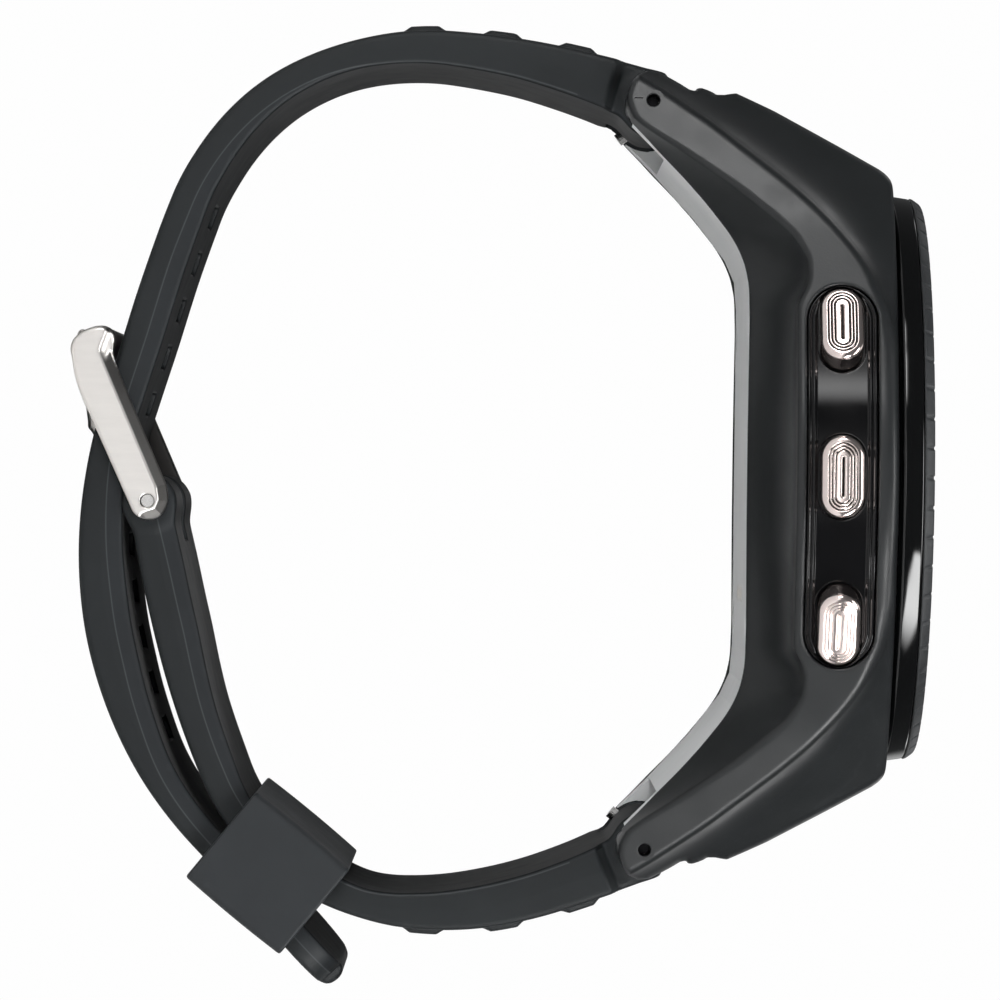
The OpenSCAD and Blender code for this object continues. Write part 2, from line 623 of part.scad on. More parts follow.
if (shown("strap_long")) strap_long();
if (shown("bar_tube_long")) lug_tube(LONG);
if (shown("bar_pin_long_near")) lug_pin(LONG);
if (shown("bar_pin_long_release")) release_pin(LONG);
if (shown("bar_spring_long")) lug_spring(LONG);
if (shown("strap_short")) strap_short();
if (shown("bar_tube_short")) lug_tube(SHORT);
if (shown("bar_pin_short_near")) lug_pin(SHORT);
if (shown("bar_pin_short_release")) release_pin(SHORT);
if (shown("bar_spring_short")) lug_spring(SHORT);
if (shown("buckle_frame")) buckle_frame();
if (shown("buckle_tongue")) buckle_tongue();
if (shown("buckle_bar_tube")) bar_tube(buckle_bar, buckle_bar_half);
if (shown("buckle_pin_near")) bar_pin(buckle_bar, buckle_bar_half, buckle_tip_reach);
if (shown("buckle_pin_far")) far_pin(buckle_bar, buckle_bar_half, buckle_tip_reach);
if (shown("buckle_bar_spring")) bar_spring(buckle_bar, buckle_bar_half);
if (shown("keeper")) keeper();
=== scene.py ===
"""Digital wristwatch with its strap closed into a loop.

The display faces +Z and the buttons are on the +X side. The long strap leaves the case at -Y,
the short one at +Y, and they meet at the buckle below. The watch is mirrored about x = 0 except
for the buttons and their panel. Shapes are in millimetres, Blender objects in metres.
"""
import functools
import math

import bpy
import numpy as np
from mathutils import Matrix, Vector


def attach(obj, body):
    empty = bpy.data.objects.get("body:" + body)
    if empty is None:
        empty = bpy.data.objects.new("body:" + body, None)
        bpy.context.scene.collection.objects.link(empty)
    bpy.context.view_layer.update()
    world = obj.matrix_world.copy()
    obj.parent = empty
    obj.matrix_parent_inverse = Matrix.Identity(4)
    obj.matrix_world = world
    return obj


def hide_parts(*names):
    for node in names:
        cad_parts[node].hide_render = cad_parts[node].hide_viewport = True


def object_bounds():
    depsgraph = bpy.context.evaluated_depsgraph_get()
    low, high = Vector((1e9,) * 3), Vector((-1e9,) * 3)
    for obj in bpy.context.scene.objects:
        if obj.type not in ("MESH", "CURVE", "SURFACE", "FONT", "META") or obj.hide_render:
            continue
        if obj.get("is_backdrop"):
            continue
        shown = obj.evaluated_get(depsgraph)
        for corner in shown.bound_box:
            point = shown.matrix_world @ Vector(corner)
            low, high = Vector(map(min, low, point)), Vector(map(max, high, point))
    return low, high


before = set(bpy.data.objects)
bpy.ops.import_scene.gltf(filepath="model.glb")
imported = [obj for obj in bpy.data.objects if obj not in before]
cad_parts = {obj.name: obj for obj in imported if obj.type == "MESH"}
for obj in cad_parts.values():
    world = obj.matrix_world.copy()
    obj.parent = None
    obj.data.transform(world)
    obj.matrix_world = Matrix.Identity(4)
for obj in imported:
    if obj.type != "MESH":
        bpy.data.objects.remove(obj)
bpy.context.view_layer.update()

CELL_FACTOR = 1.0
BLOCK = 8  # cells along the side of a sampling block
MM = 0.001
F32 = np.float32

# ---- Sizes shared by the pieces (mm) ----
BAR_Y, BAR_Z = 29.6, -7.93  # spring bars, mirrored in y
CASE_TOP = 11.4
BAR_HOLE = 0.95  # radius of the straps' and the prong's pin holes

BUTTON_Z = 6.85
BUTTON_LENGTH, BUTTON_HEIGHT = 6.4, 3.4
BUTTON_HALF = (BUTTON_LENGTH - BUTTON_HEIGHT) / 2  # centre to the middle of a round end
BUTTON_REACH = 25.0  # face of a button from the watch's axis
BUTTON_PITCH = 29.0  # degrees between buttons
BUTTON_DIRECTIONS = [(math.cos(math.radians(k * BUTTON_PITCH)),
                      math.sin(math.radians(k * BUTTON_PITCH))) for k in (-1, 0, 1)]

SLOT_Z, SLOT_HALF, SLOT_RADIUS = 6.9, 12.2, 2.8  # stadium slot for the button panel
PANEL_RADIUS = 2.74

PIN_Y, PIN_Z = 2.520, -47.677  # buckle pin
# Prong centre line, y and z from the buckle pin
PRONG_PATH = [[0, 0], [-2.3, -0.75], [-3.0, -1.3], [-5.35, -4.7], [-6.1, -5.2], [-13.5, -6.2]]


# ==== Signed distances: a shape is a function of three coordinates in mm, negative inside ====
def soft_min(a, b, radius):
    weight = np.clip(0.5 + 0.5 * (b - a) / radius, 0, 1)
    return b + (a - b) * weight - radius * weight * (1 - weight)


def soft_max(a, b, radius):
    return -soft_min(-a, -b, radius)


def stadium(a, b, half, radius):
    return np.sqrt(np.maximum(np.abs(a) - half, 0) ** 2 + b * b) - radius


def rounded_box(a, b, half_a, half_b, radius):
    over_a, over_b = np.abs(a) - half_a + radius, np.abs(b) - half_b + radius
    outside = np.hypot(np.maximum(over_a, 0), np.maximum(over_b, 0))
    return outside + np.minimum(np.maximum(over_a, over_b), 0) - radius


def polygon_distance(px, py, points):
    points = np.array(points, float)
    nearest = np.full(px.shape, 1e18)
    sign = np.ones(px.shape)
    for i in range(len(points)):
        start, end = points[i], points[i - 1]
        edge = end - start
        wx, wy = px - start[0], py - start[1]
        share = np.clip((wx * edge[0] + wy * edge[1]) / (edge @ edge), 0, 1)
        dx, dy = wx - edge[0] * share, wy - edge[1] * share
        nearest = np.minimum(nearest, dx * dx + dy * dy)
        above, below, left = py >= start[1], py < end[1], edge[0] * wy > edge[1] * wx
        crossed = (above & below & left) | (~above & ~below & ~left)
        sign = np.where(crossed, -sign, sign)
    return sign * np.sqrt(nearest)


def segment_distances(y, z, path):
    """Distance to each straight piece of a path."""
    path = np.array(path)
    found = []
    for start, end in zip(path[:-1], path[1:]):
        edge = end - start
        share = ((y - start[0]) * edge[0] + (z - start[1]) * edge[1]) / (edge @ edge)
        share = np.clip(share, 0, 1)
        found.append(np.hypot(y - start[0] - edge[0] * share, z - start[1] - edge[1] * share))
    return found


class Map2D:
    """A function of two variables kept on a fine grid, read back by interpolation."""

    def __init__(self, function, low, high, step=0.08):
        self.low, self.step = low, step
        count_a = int((high[0] - low[0]) / step) + 2
        count_b = int((high[1] - low[1]) / step) + 2
        a, b = np.meshgrid(low[0] + step * np.arange(count_a),
                           low[1] + step * np.arange(count_b), indexing="ij")
        self.values = function(a, b).astype(F32)

    def __call__(self, a, b):
        values = self.values
        u = np.clip((a - self.low[0]) / self.step, 0, values.shape[0] - 1.001)
        w = np.clip((b - self.low[1]) / self.step, 0, values.shape[1] - 1.001)
        i, j = u.astype(np.int32), w.astype(np.int32)
        u, w = u - i, w - j
        near = values[i, j] * (1 - u) + values[i + 1, j] * u
        far = values[i, j + 1] * (1 - u) + values[i + 1, j + 1] * u
        return near * (1 - w) + far * w


def polygon_map(points, step=0.08, margin=4.0):
    points = np.array(points, float)
    return Map2D(lambda a, b: polygon_distance(a, b, points),
                 points.min(0) - margin, points.max(0) + margin, step)


def cut_corners(points, rounds, sharp=()):
    """Round a polygon by repeated corner cutting; corners listed in sharp stay."""
    points = [tuple(p) for p in points]
    keep = {points[i] for i in sharp}
    for _ in range(rounds):
        cut = []
        for i, corner in enumerate(points):
            if corner in keep:
                cut.append(corner)
                continue
            here = np.array(corner)
            for other in (points[i - 1], points[(i + 1) % len(points)]):
                cut.append(tuple(here + (np.array(other) - here) * 0.25))
        points = cut
    return points


class Curve:
    """A smoothed function of one variable, with its slope."""

    step = 0.05

    def __init__(self, function, smoothing, low=0.0, high=40.0, even=True):
        self.low = low
        stations = np.arange(low, high + self.step, self.step)
        values = function(stations)
        reach = int(4 * smoothing / self.step)
        kernel = np.exp(-0.5 * (np.arange(-reach, reach + 1) * self.step / smoothing) ** 2)
        kernel /= kernel.sum()
        left = values[1 : reach + 1][::-1]
        if not even:
            left = 2 * values[0] - left
        right = 2 * values[-1] - values[-reach - 1 : -1][::-1]
        values = np.convolve(np.concatenate([left, values, right]), kernel, "valid")
        self.values = values.astype(F32)
        self.slopes = np.gradient(values, self.step).astype(F32)

    def _read(self, table, x):
        u = np.clip((x - self.low) / self.step, 0, len(table) - 1.001)
        i = u.astype(np.int32)
        u = u - i
        return table[i] * (1 - u) + table[i + 1] * u

    def __call__(self, x):
        return self._read(self.values, x)

    def slope(self, x):
        return self._read(self.slopes, x)


def table_curve(rows, smoothing, **limits):
    """Curve through rows of (station, value)."""
    stations, values = zip(*rows)
    return Curve(lambda x: np.interp(x, stations, values), smoothing, **limits)


# ==== Meshing ====
def sample(distance, low, high, cell, slack):
    """Distances on a grid, exact in blocks near the surface and one value per block elsewhere."""
    low = np.array(low, float)
    blocks = np.ceil((np.array(high, float) - low) / (cell * BLOCK)).astype(int)
    axes = [(low[i] + (np.arange(blocks[i]) + 0.5) * BLOCK * cell).astype(F32) for i in range(3)]
    centres = np.meshgrid(*axes, indexing="ij")
    coarse = distance(*(c.ravel() for c in centres)).reshape(centres[0].shape).astype(F32)
    half_diagonal = 0.5 * BLOCK * cell * 1.7321
    active = np.argwhere(np.abs(coarse) < half_diagonal * slack + 0.2)
    grid = np.repeat(np.repeat(np.repeat(coarse, BLOCK, 0), BLOCK, 1), BLOCK, 2)
    grid = np.pad(grid, ((0, 1),) * 3, mode="edge")
    steps = np.arange(BLOCK + 1)
    offsets = np.stack(np.meshgrid(steps, steps, steps, indexing="ij"), -1).reshape(-1, 3)
    batch = 700  # blocks evaluated together, to bound memory
    for i in range(0, len(active), batch):
        index = (active[i : i + batch, None, :] * BLOCK + offsets[None]).reshape(-1, 3)
        points = (low + index * cell).astype(F32)
        grid[index[:, 0], index[:, 1], index[:, 2]] = distance(*points.T)
    return grid, low


def surface_nets(grid, low, cell):
    """One vertex per cell the surface crosses, one quad per grid edge it crosses."""
    inside = grid < 0
    cells = np.array(grid.shape) - 1
    places, owners, quads = [], [], []
    for axis in range(3):
        first, second = [slice(None)] * 3, [slice(None)] * 3
        first[axis], second[axis] = slice(0, -1), slice(1, None)
        edges = np.argwhere(inside[tuple(first)] != inside[tuple(second)])
        unit = np.zeros(3, int)
        unit[axis] = 1
        start = grid[tuple(edges.T)].astype(float)
        end = grid[tuple((edges + unit).T)].astype(float)
        crossing = edges.astype(float)
        crossing[:, axis] += start / (start - end)
        u, v = (axis + 1) % 3, (axis + 2) % 3
        around = []
        for du, dv in ((0, 0), (-1, 0), (-1, -1), (0, -1)):
            c = edges.copy()
            c[:, u] += du
            c[:, v] += dv
            around.append((c[:, 0] * cells[1] + c[:, 1]) * cells[2] + c[:, 2])
        around = np.stack(around, 1)
        places.append(np.repeat(crossing, 4, 0))
        owners.append(around.ravel())
        flip = start > 0
        around[flip] = around[flip][:, ::-1]
        quads.append(around)
    # Owners were copied before the flip where ravel copies; re-derive nothing, only join.
    places, owners, quads = map(np.concatenate, (places, owners, quads))
    ids, inverse = np.unique(owners, return_inverse=True)
    count = np.bincount(inverse)
    verts = np.stack([np.bincount(inverse, weights=places[:, k]) / count for k in range(3)], 1)
    return low + verts * cell, np.searchsorted(ids, quads)


def gradient(distance, verts, step):
    parts = []
    for unit in np.eye(3):
        ahead, behind = verts + step * unit, verts - step * unit
        parts.append((distance(*ahead.T) - distance(*behind.T)) / (2 * step))
    return np.stack(parts, 1)


def sculpt(distance, low, high, cell, slack=1.25, settle=3, soft=0.06):
    """Vertices, quads and outward normals of a surface.

    slack widens the band sampled exactly, settle counts the moves onto the surface and soft is
    the distance over which normals are measured.
    """
    cell = cell * CELL_FACTOR
    grid, low = sample(distance, low, high, cell, slack)
    verts, quads = surface_nets(grid, low, cell)
    for _ in range(settle):
        error = distance(*verts.T)
        slope = gradient(distance, verts, 0.02)
        move = (error / ((slope * slope).sum(1) + 1e-6))[:, None] * slope
        length = np.sqrt((move * move).sum(1)) + 1e-12
        verts = verts - move * np.minimum(1, 0.5 * cell / length)[:, None]
    normals = gradient(distance, verts, soft)
    normals /= np.sqrt((normals * normals).sum(1))[:, None] + 1e-12
    return verts, quads, normals


def link_object(name, data):
    obj = bpy.data.objects.new(name, data)
    bpy.context.scene.collection.objects.link(obj)
    return obj


def shade_smooth(mesh):
    mesh.polygons.foreach_set("use_smooth", np.ones(len(mesh.polygons), bool))


def add_mesh(name, verts, quads, normals=None):
    mesh = bpy.data.meshes.new(name)
    mesh.vertices.add(len(verts))
    mesh.vertices.foreach_set("co", (verts * MM).astype(F32).ravel())
    mesh.loops.add(quads.size)
    mesh.loops.foreach_set("vertex_index", quads.ravel().astype(np.int32))
    mesh.polygons.add(len(quads))
    starts = np.arange(len(quads)) * quads.shape[1]
    mesh.polygons.foreach_set("loop_start", starts.astype(np.int32))
    mesh.update(calc_edges=True)
    mesh.validate()
    shade_smooth(mesh)
    if normals is not None:
        mesh.normals_split_custom_set_from_vertices([tuple(n) for n in normals])
    mesh.update()
    return link_object(name, mesh)


def lathe(name, outline, segments, wave=None, sharp_angle=32):
    """Closed (r, z) outline turned about Z; wave(angle, r, z) may shift a point's (r, z)."""
    outline = np.array(outline, float)
    count = len(outline)
    angle = np.arange(segments) * 2 * math.pi / segments
    r = np.repeat(outline[None, :, 0], segments, 0)
    z = np.repeat(outline[None, :, 1], segments, 0)
    if wave:
        r, z = wave(angle[:, None], r, z)
    verts = np.stack([r * np.cos(angle)[:, None], r * np.sin(angle)[:, None], z], -1)
    i, j = np.meshgrid(np.arange(segments), np.arange(count), indexing="ij")
    i2, j2 = (i + 1) % segments, (j + 1) % count
    quads = np.stack([i * count + j, i2 * count + j, i2 * count + j2, i * count + j2], -1)
    obj = add_mesh(name, verts.reshape(-1, 3), quads.reshape(-1, 4))
    obj.data.set_sharp_from_angle(angle=math.radians(sharp_angle))
    return obj


def disc_lathe(name, outline, segments, sharp_angle=32):
    """Solid of revolution whose (r, z) outline starts and ends on the axis."""
    outline = np.array(outline, float)
    inner = outline[1:-1]
    count = len(inner)
    angle = np.arange(segments) * 2 * math.pi / segments
    r = inner[None, :, 0]
    verts = np.stack([r * np.cos(angle)[:, None], r * np.sin(angle)[:, None],
                      np.repeat(inner[None, :, 1], segments, 0)], -1).reshape(-1, 3)
    verts = np.concatenate([verts, [[0, 0, outline[0][1]], [0, 0, outline[-1][1]]]])
    i, j = np.meshgrid(np.arange(segments), np.arange(count - 1), indexing="ij")
    i2 = (i + 1) % segments
    quads = np.stack([i * count + j, i2 * count + j, i2 * count + j + 1, i * count + j + 1], -1)
    k = np.arange(segments)
    k2 = (k + 1) % segments
    pole = segments * count
    first = np.stack([np.full(segments, pole), k2 * count, k * count], -1)
    last = np.stack([np.full(segments, pole + 1), (k + 1) * count - 1, k2 * count + count - 1], -1)
    faces = [tuple(f) for part in (quads.reshape(-1, 4), first, last) for f in part]
    mesh = bpy.data.meshes.new(name)
    mesh.from_pydata([tuple(v * MM) for v in verts], [], faces)
    mesh.validate()
    shade_smooth(mesh)
    mesh.set_sharp_from_angle(angle=math.radians(sharp_angle))
    return link_object(name, mesh)


# ==== Node graphs ====
class Graph:
    """Short calls for building a node tree."""

    def __init__(self, tree):
        self.tree = tree

    def new(self, kind, **settings):
        node = self.tree.nodes.new(kind)
        for key, value in settings.items():
            setattr(node, key, value)
        return node

    def link(self, source, target):
        self.tree.links.new(source, target)

    def feed(self, socket, value):
        """Link a socket, or set a number or an RGB colour."""
        if isinstance(value, bpy.types.NodeSocket):
            self.link(value, socket)
        elif isinstance(value, tuple) and len(value) == 3:
            socket.default_value = (*value, 1)
        else:
            socket.default_value = value

    def split(self, vector):
        node = self.new("ShaderNodeSeparateXYZ")
        self.link(vector, node.inputs[0])
        return node.outputs

    def ramp(self, factor, stops, interpolation="LINEAR"):
        """Colour ramp through (position, grey or RGB) stops."""
        node = self.new("ShaderNodeValToRGB")
        node.color_ramp.interpolation = interpolation
        elements = node.color_ramp.elements
        while len(elements) < len(stops):
            elements.new(0.5)
        for element, (position, color) in zip(elements, stops):
            element.position = position
            element.color = (*color, 1) if isinstance(color, tuple) else (color,) * 3 + (1,)
        self.link(factor, node.inputs[0])
        return node.outputs[0]

    def mix(self, factor, first, second, blend="MIX"):
        node = self.new("ShaderNodeMix", data_type="RGBA", blend_type=blend)
        for index, value in ((0, factor), (6, first), (7, second)):
            self.feed(node.inputs[index], value)
        return node.outputs[2]

    def math(self, operation, a, b=0.0, c=0.0):
        node = self.new("ShaderNodeMath", operation=operation)
        for socket, value in zip(node.inputs, (a, b, c)):
            self.feed(socket, value)
        return node.outputs[0]

    def mix_shader(self, factor, first, second):
        node = self.new("ShaderNodeMixShader")
        for socket, value in zip(node.inputs, (factor, first, second)):
            self.link(value, socket)
        return node.outputs[0]


class Shader(Graph):
    """A material with one Principled BSDF."""

    def __init__(self, name):
        self.material = bpy.data.materials.new(name)
        self.material.use_nodes = True
        super().__init__(self.material.node_tree)
        self.tree.nodes.clear()
        self.output = self.new("ShaderNodeOutputMaterial")
        self.bsdf = self.new("ShaderNodeBsdfPrincipled")
        self.link(self.bsdf.outputs[0], self.output.inputs[0])
        self.place = self.new("ShaderNodeTexCoord").outputs["Object"]

    def noise(self, scale, detail=3.0, roughness=0.5, stretch=None):
        node = self.new("ShaderNodeTexNoise")
        node.inputs["Scale"].default_value = scale
        node.inputs["Detail"].default_value = detail
        node.inputs["Roughness"].default_value = roughness
        place = self.place
        if stretch:
            mapping = self.new("ShaderNodeMapping")
            mapping.inputs["Scale"].default_value = stretch
            self.link(place, mapping.inputs["Vector"])
            place = mapping.outputs[0]
        self.link(place, node.inputs["Vector"])
        return node.outputs["Fac"]

    def bump(self, height, strength, distance):
        node = self.new("ShaderNodeBump")
        node.inputs["Strength"].default_value = strength
        node.inputs["Distance"].default_value = distance
        self.link(height, node.inputs["Height"])
        return node.outputs[0]

    def uneven(self, roughness, scale, spread):
        """Roughness that drifts about its mean."""
        drift = self.math("SUBTRACT", self.noise(scale), 0.5)
        return self.math("MULTIPLY_ADD", drift, spread, roughness)

    @property
    def base_color(self):
        return self.bsdf.inputs["Base Color"].links[0].from_socket

    def set(self, **values):
        for key, value in values.items():
            self.feed(self.bsdf.inputs[key.replace("_", " ")], value)


# ==== Materials; lengths in metres, colours linear ====
def plastic(name, color, rough, grain=2600.0, depth=0.00002, vary=0.18, wear=0.0, spec=0.5,
            coat=0.0, strength=0.5, sheen=0.0):
    """Moulded plastic or rubber: mottled tone, fine texture, slightly polished edges.

    grain is the texture's noise scale, depth and strength its bump, vary the spread of tone.
    """
    shader = Shader(name)
    dark = tuple(c * (1 - vary) for c in color)
    light = tuple(c * (1 + vary) for c in color)
    mottle = shader.ramp(shader.noise(160, detail=4.0, roughness=0.55), [(0.3, 0.0), (0.7, 1.0)])
    tone = shader.mix(mottle, dark, light)
    if wear:
        pointiness = shader.new("ShaderNodeNewGeometry").outputs["Pointiness"]
        edges = shader.ramp(pointiness, [(0.53, 0.0), (0.62, 1.0)])
        worn = tuple(min(1, c * 2.2 + 0.01) for c in color)
        tone = shader.mix(shader.math("MULTIPLY", edges, wear), tone, worn)
    texture = shader.noise(grain, detail=2.0, roughness=0.6)
    shader.set(Base_Color=tone, Roughness=shader.uneven(rough, scale=420, spread=0.16),
               Normal=shader.bump(texture, strength, depth),
               Coat_Weight=coat, Coat_Roughness=0.04, Specular_IOR_Level=spec)
    if sheen:
        shader.set(Sheen_Weight=sheen, Sheen_Roughness=0.4)
    return shader


def metal(name, color, rough, stretch=(1, 1, 1), scale=1500.0, depth=0.00001, vary=0.06,
          strength=0.35):
    """Metal with fine scratches; stretch draws their noise out along an axis."""
    shader = Shader(name)
    lines = shader.noise(scale, detail=4.0, roughness=0.6, stretch=stretch)
    dark = tuple(c * (1 - vary) for c in color)
    light = tuple(min(1, c * (1 + vary)) for c in color)
    shader.set(Base_Color=shader.mix(lines, dark, light), Metallic=1.0,
               Roughness=shader.uneven(rough, scale=300, spread=0.14),
               Normal=shader.bump(lines, strength, depth))
    return shader


def mark_rubber(shader):
    """Pale parting line on the strap's sides; painted light on the inner lip, painted shade on the
    wrist face.
    """
    # The straps' "band" attribute, in mm: depth past the parting line, across, along
    band = shader.new("ShaderNodeAttribute", attribute_name="band")
    depth, across, along = shader.split(band.outputs["Vector"])
    line_half_width = 0.085
    near = shader.math("DIVIDE", shader.math("ABSOLUTE", depth), line_half_width)
    line = shader.math("SUBTRACT", 1.0, shader.math("SMOOTH_MIN", near, 1.0, 0.1))
    edge = shader.math("GREATER_THAN", across, 8.6)
    past_lug = shader.math("GREATER_THAN", along, 6.0)
    line = shader.math("MULTIPLY", shader.math("MAXIMUM", line, 0.0), edge)
    line = shader.math("MULTIPLY", line, past_lug)
    tone = shader.base_color
    # Painted light: the lip past the parting line is made paler
    lip = shader.math("MULTIPLY", shader.math("LESS_THAN", depth, 0.0), edge)
    lip_light_gain = (1.12, 1.12, 1.12 * 1.04)
    tone = shader.mix(lip, tone, shader.mix(1.0, tone, lip_light_gain, "MULTIPLY"))
    # Painted shade: the face on the wrist is made darker and duller
    normal_x = shader.split(shader.new("ShaderNodeNewGeometry").outputs["Normal"])[0]
    flat = shader.ramp(shader.math("ABSOLUTE", normal_x), [(0.35, 1.0), (0.80, 0.0)])
    wrist = shader.math("MULTIPLY", flat, shader.math("LESS_THAN", depth, 0.0))
    tone = shader.mix(wrist, tone, shader.mix(1.0, tone, (0.35, 0.35, 0.35), "MULTIPLY"))
    line_color, line_strength = (0.060, 0.066, 0.070), 0.75
    tone = shader.mix(shader.math("MULTIPLY", line, line_strength), tone, line_color)
    # Specular level 0.34, falling to 0.07 on the wrist face, part of its painted shade
    shader.set(Base_Color=tone,
               Specular_IOR_Level=shader.math("MULTIPLY_ADD", wrist, -0.27, 0.34))


def paint_bar_tip_shade(shader):
    """Painted shade on the spring bars' ends, between two distances from x = 0."""
    inner_x, outer_x = 0.0116, 0.0123
    place = shader.new("ShaderNodeTexCoord").outputs["Object"]
    x = shader.math("ABSOLUTE", shader.split(place)[0])
    tip = shader.math("MULTIPLY", shader.math("GREATER_THAN", x, inner_x),
                      shader.math("LESS_THAN", x, outer_x))
    # Painted shade: the ends inside the bores are coloured near black
    shader.set(Base_Color=shader.mix(tip, shader.base_color, (0.012, 0.012, 0.013)))


def shade_inside(shader):
    """Painted shade on the buckle's faces that look towards x = 0 or up."""
    normal = shader.split(shader.new("ShaderNodeNewGeometry").outputs["Normal"])
    place = shader.split(shader.new("ShaderNodeTexCoord").outputs["Object"])
    inward = shader.math("MULTIPLY", shader.math("SIGN", place[0]),
                         shader.math("MULTIPLY", normal[0], -1.0))
    inner = shader.ramp(inward, [(0.25, 0.0), (0.6, 1.0)])
    upward = shader.ramp(normal[2], [(0.45, 0.0), (0.75, 1.0)])
    dark = shader.math("MAXIMUM", inner, shader.math("MULTIPLY", upward, 0.85))
    shader.set(Base_Color=shader.mix(dark, shader.base_color, (0.10, 0.096, 0.093)))


def paint_groove_shade(shader):
    """Painted shade makes the cut rings in a button's face darker than the polished lands."""
    groove = shader.new("ShaderNodeAttribute", attribute_name="groove")
    dark = shader.ramp(groove.outputs["Fac"], [(0.25, 0.0), (0.8, 1.0)])
    shader.set(Base_Color=shader.mix(dark, shader.base_color, (0.035, 0.030, 0.030)))


def lens_glass():
    """Dark glass: slate-grey disc within a black border."""
    shader = Shader("lens_dark_glass")
    x, y, _ = shader.split(shader.place)
    squares = shader.math("ADD", shader.math("POWER", x, 2.0), shader.math("POWER", y, 2.0))
    radius = shader.math("SQRT", squares)
    slate, black = (0.018, 0.021, 0.022), (0.003, 0.003, 0.0035)
    # The ramp runs from the axis to a radius of 1/50 m
    tone = shader.ramp(shader.math("MULTIPLY", radius, 50.0),
                       [(0.0, slate), (0.765, slate), (0.775, black), (1.0, black)])
    grain = shader.ramp(shader.noise(2400, detail=1.0, roughness=0.4), [(0.35, 0.9), (0.65, 1.1)])
    ripple = shader.noise(90, detail=1.0, roughness=0.4)
    shader.set(Base_Color=shader.mix(1.0, tone, grain, "MULTIPLY"), Roughness=0.045,
               Coat_Weight=0.6, Coat_Roughness=0.02,
               Normal=shader.bump(ripple, strength=0.03, distance=0.00001))
    return shader


RUBBER = dict(grain=3600, depth=0.000018, vary=0.10, wear=0.10, spec=0.42, sheen=0.06)
GLOSS = dict(grain=900, depth=0.000002, vary=0.10, strength=0.15)
SHADERS = {
    "case": plastic("case_soft_black", (0.0160, 0.0177, 0.0188), rough=0.36, grain=5200,
                    depth=0.000012, vary=0.10, wear=0.12, spec=0.47),
    "strap": plastic("strap_rubber", (0.0125, 0.0150, 0.0165), rough=0.56, **RUBBER),
    "keeper": plastic("keeper_rubber", (0.0195, 0.0225, 0.0255), rough=0.52, **RUBBER),
    "panel_gloss": plastic("panel_gloss_black", (0.004, 0.004, 0.0045), rough=0.09, spec=0.33,
                           coat=0.12, **GLOSS),
    "bezel": plastic("bezel_gloss_black", (0.0018, 0.002, 0.0022), rough=0.08, spec=0.45,
                     coat=0.2, **GLOSS),
    "bezel_ring": plastic("bezel_ring_matte", (0.030, 0.032, 0.034), rough=0.50, grain=4200,
                          depth=0.00003, vary=0.25, wear=0.2, strength=0.9),
    "seal": plastic("seal_rubber", (0.012, 0.012, 0.013), rough=0.6, vary=0.2),
    "display": plastic("display_film", (0.020, 0.024, 0.026), rough=0.25, grain=700, vary=0.1,
                       strength=0.1),
    "light_guide": plastic("light_guide_film", (0.75, 0.78, 0.80), rough=0.3, vary=0.03,
                           strength=0.1),
    "inner_frame": plastic("inner_frame_plastic", (0.03, 0.03, 0.032), rough=0.5),
    "board": plastic("board_green", (0.01, 0.07, 0.03), rough=0.35, grain=1200, vary=0.25,
                     coat=0.3),
    "chips": plastic("chip_epoxy", (0.012, 0.012, 0.013), rough=0.45, vary=0.2),
    "battery_wrap": plastic("battery_foil", (0.45, 0.46, 0.48), rough=0.35, grain=500,
                            vary=0.08),
    "back_plate": plastic("back_plate_grey", (0.90, 0.91, 0.91), rough=0.34, grain=5200,
                          depth=0.000008, vary=0.03, strength=0.4),
    "tinplate": metal("tinplate", (0.72, 0.72, 0.73), rough=0.35),
    "copper_strip": metal("copper_strip", (0.72, 0.42, 0.26), rough=0.35),
    "steel_small": metal("steel_small", (0.62, 0.62, 0.63), rough=0.30),
    "buzzer_shell": metal("buzzer_shell", (0.45, 0.44, 0.42), rough=0.40),
    "contact_gold": metal("contact_gold", (0.83, 0.62, 0.30), rough=0.22),
    "spring_steel": metal("spring_steel", (0.55, 0.55, 0.56), rough=0.30),
    "bar_steel": metal("bar_steel", (0.66, 0.65, 0.64), rough=0.26, stretch=(0.1, 1, 1)),
    "buckle_metal": metal("buckle_satin_steel", (0.95, 0.915, 0.88), rough=0.36,
                          stretch=(1.0, 0.9, 0.12), scale=2600, vary=0.05, strength=0.5),
    "button_metal": metal("button_rose_chrome", (0.95, 0.83, 0.79), rough=0.17, scale=1800,
                          depth=0.000003, vary=0.04, strength=0.25),
    "lens": lens_glass(),
}
mark_rubber(SHADERS["strap"])
paint_bar_tip_shade(SHADERS["bar_steel"])
shade_inside(SHADERS["buckle_metal"])
paint_groove_shade(SHADERS["button_metal"])
MATERIALS = {slot: shader.material for slot, shader in SHADERS.items()}


def dress(obj, slot, body, node):
    """Give a piece its material and put it in place of a CAD node, riding a body."""
    obj.data.materials.append(MATERIALS[slot])
    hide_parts(node)
    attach(obj, body)


# ==== Case ====
# Back plate's side outline: |y|, z, closed far below
PLATE_OUTLINE = [
    [-6, 0], [0, 0], [14, 0], [16.4, -0.2], [18.2, -1], [21.6, -3.6], [25.4, -7.1],
    [27.8, -9.5], [40, -21.2], [40, -45], [-6, -45]]
# Case's side outline round the lug: |y|, z, closed above and below
END_OUTLINE = [
    [-8, CASE_TOP + 3], [-8, -20], [26.9, -20], [27.9, -9.75], [29.4, -10.2], [31.6, -9.5],
    [32.5, -7.9], [31.5, -6], [30.6, -4.6], [31.1, -4.2], [30.8, -3.2], [30.4, -2.6],
    [30.9, -0.6], [25, 10.2], [24.2, 11.1], [22.2, CASE_TOP + 0.9], [20, CASE_TOP + 3]]

# Curves of |y|: first x of the flank, a circle that runs into straight facets
FLANK_X = Curve(lambda y: np.where(y < 7.5, np.sqrt(np.maximum(23.5**2 - y * y, 1)),
                                   np.interp(y, [7.5, 20.2, 33, 40], [22.27, 19.2, 14.2, 11.5])),
                smoothing=0.9)
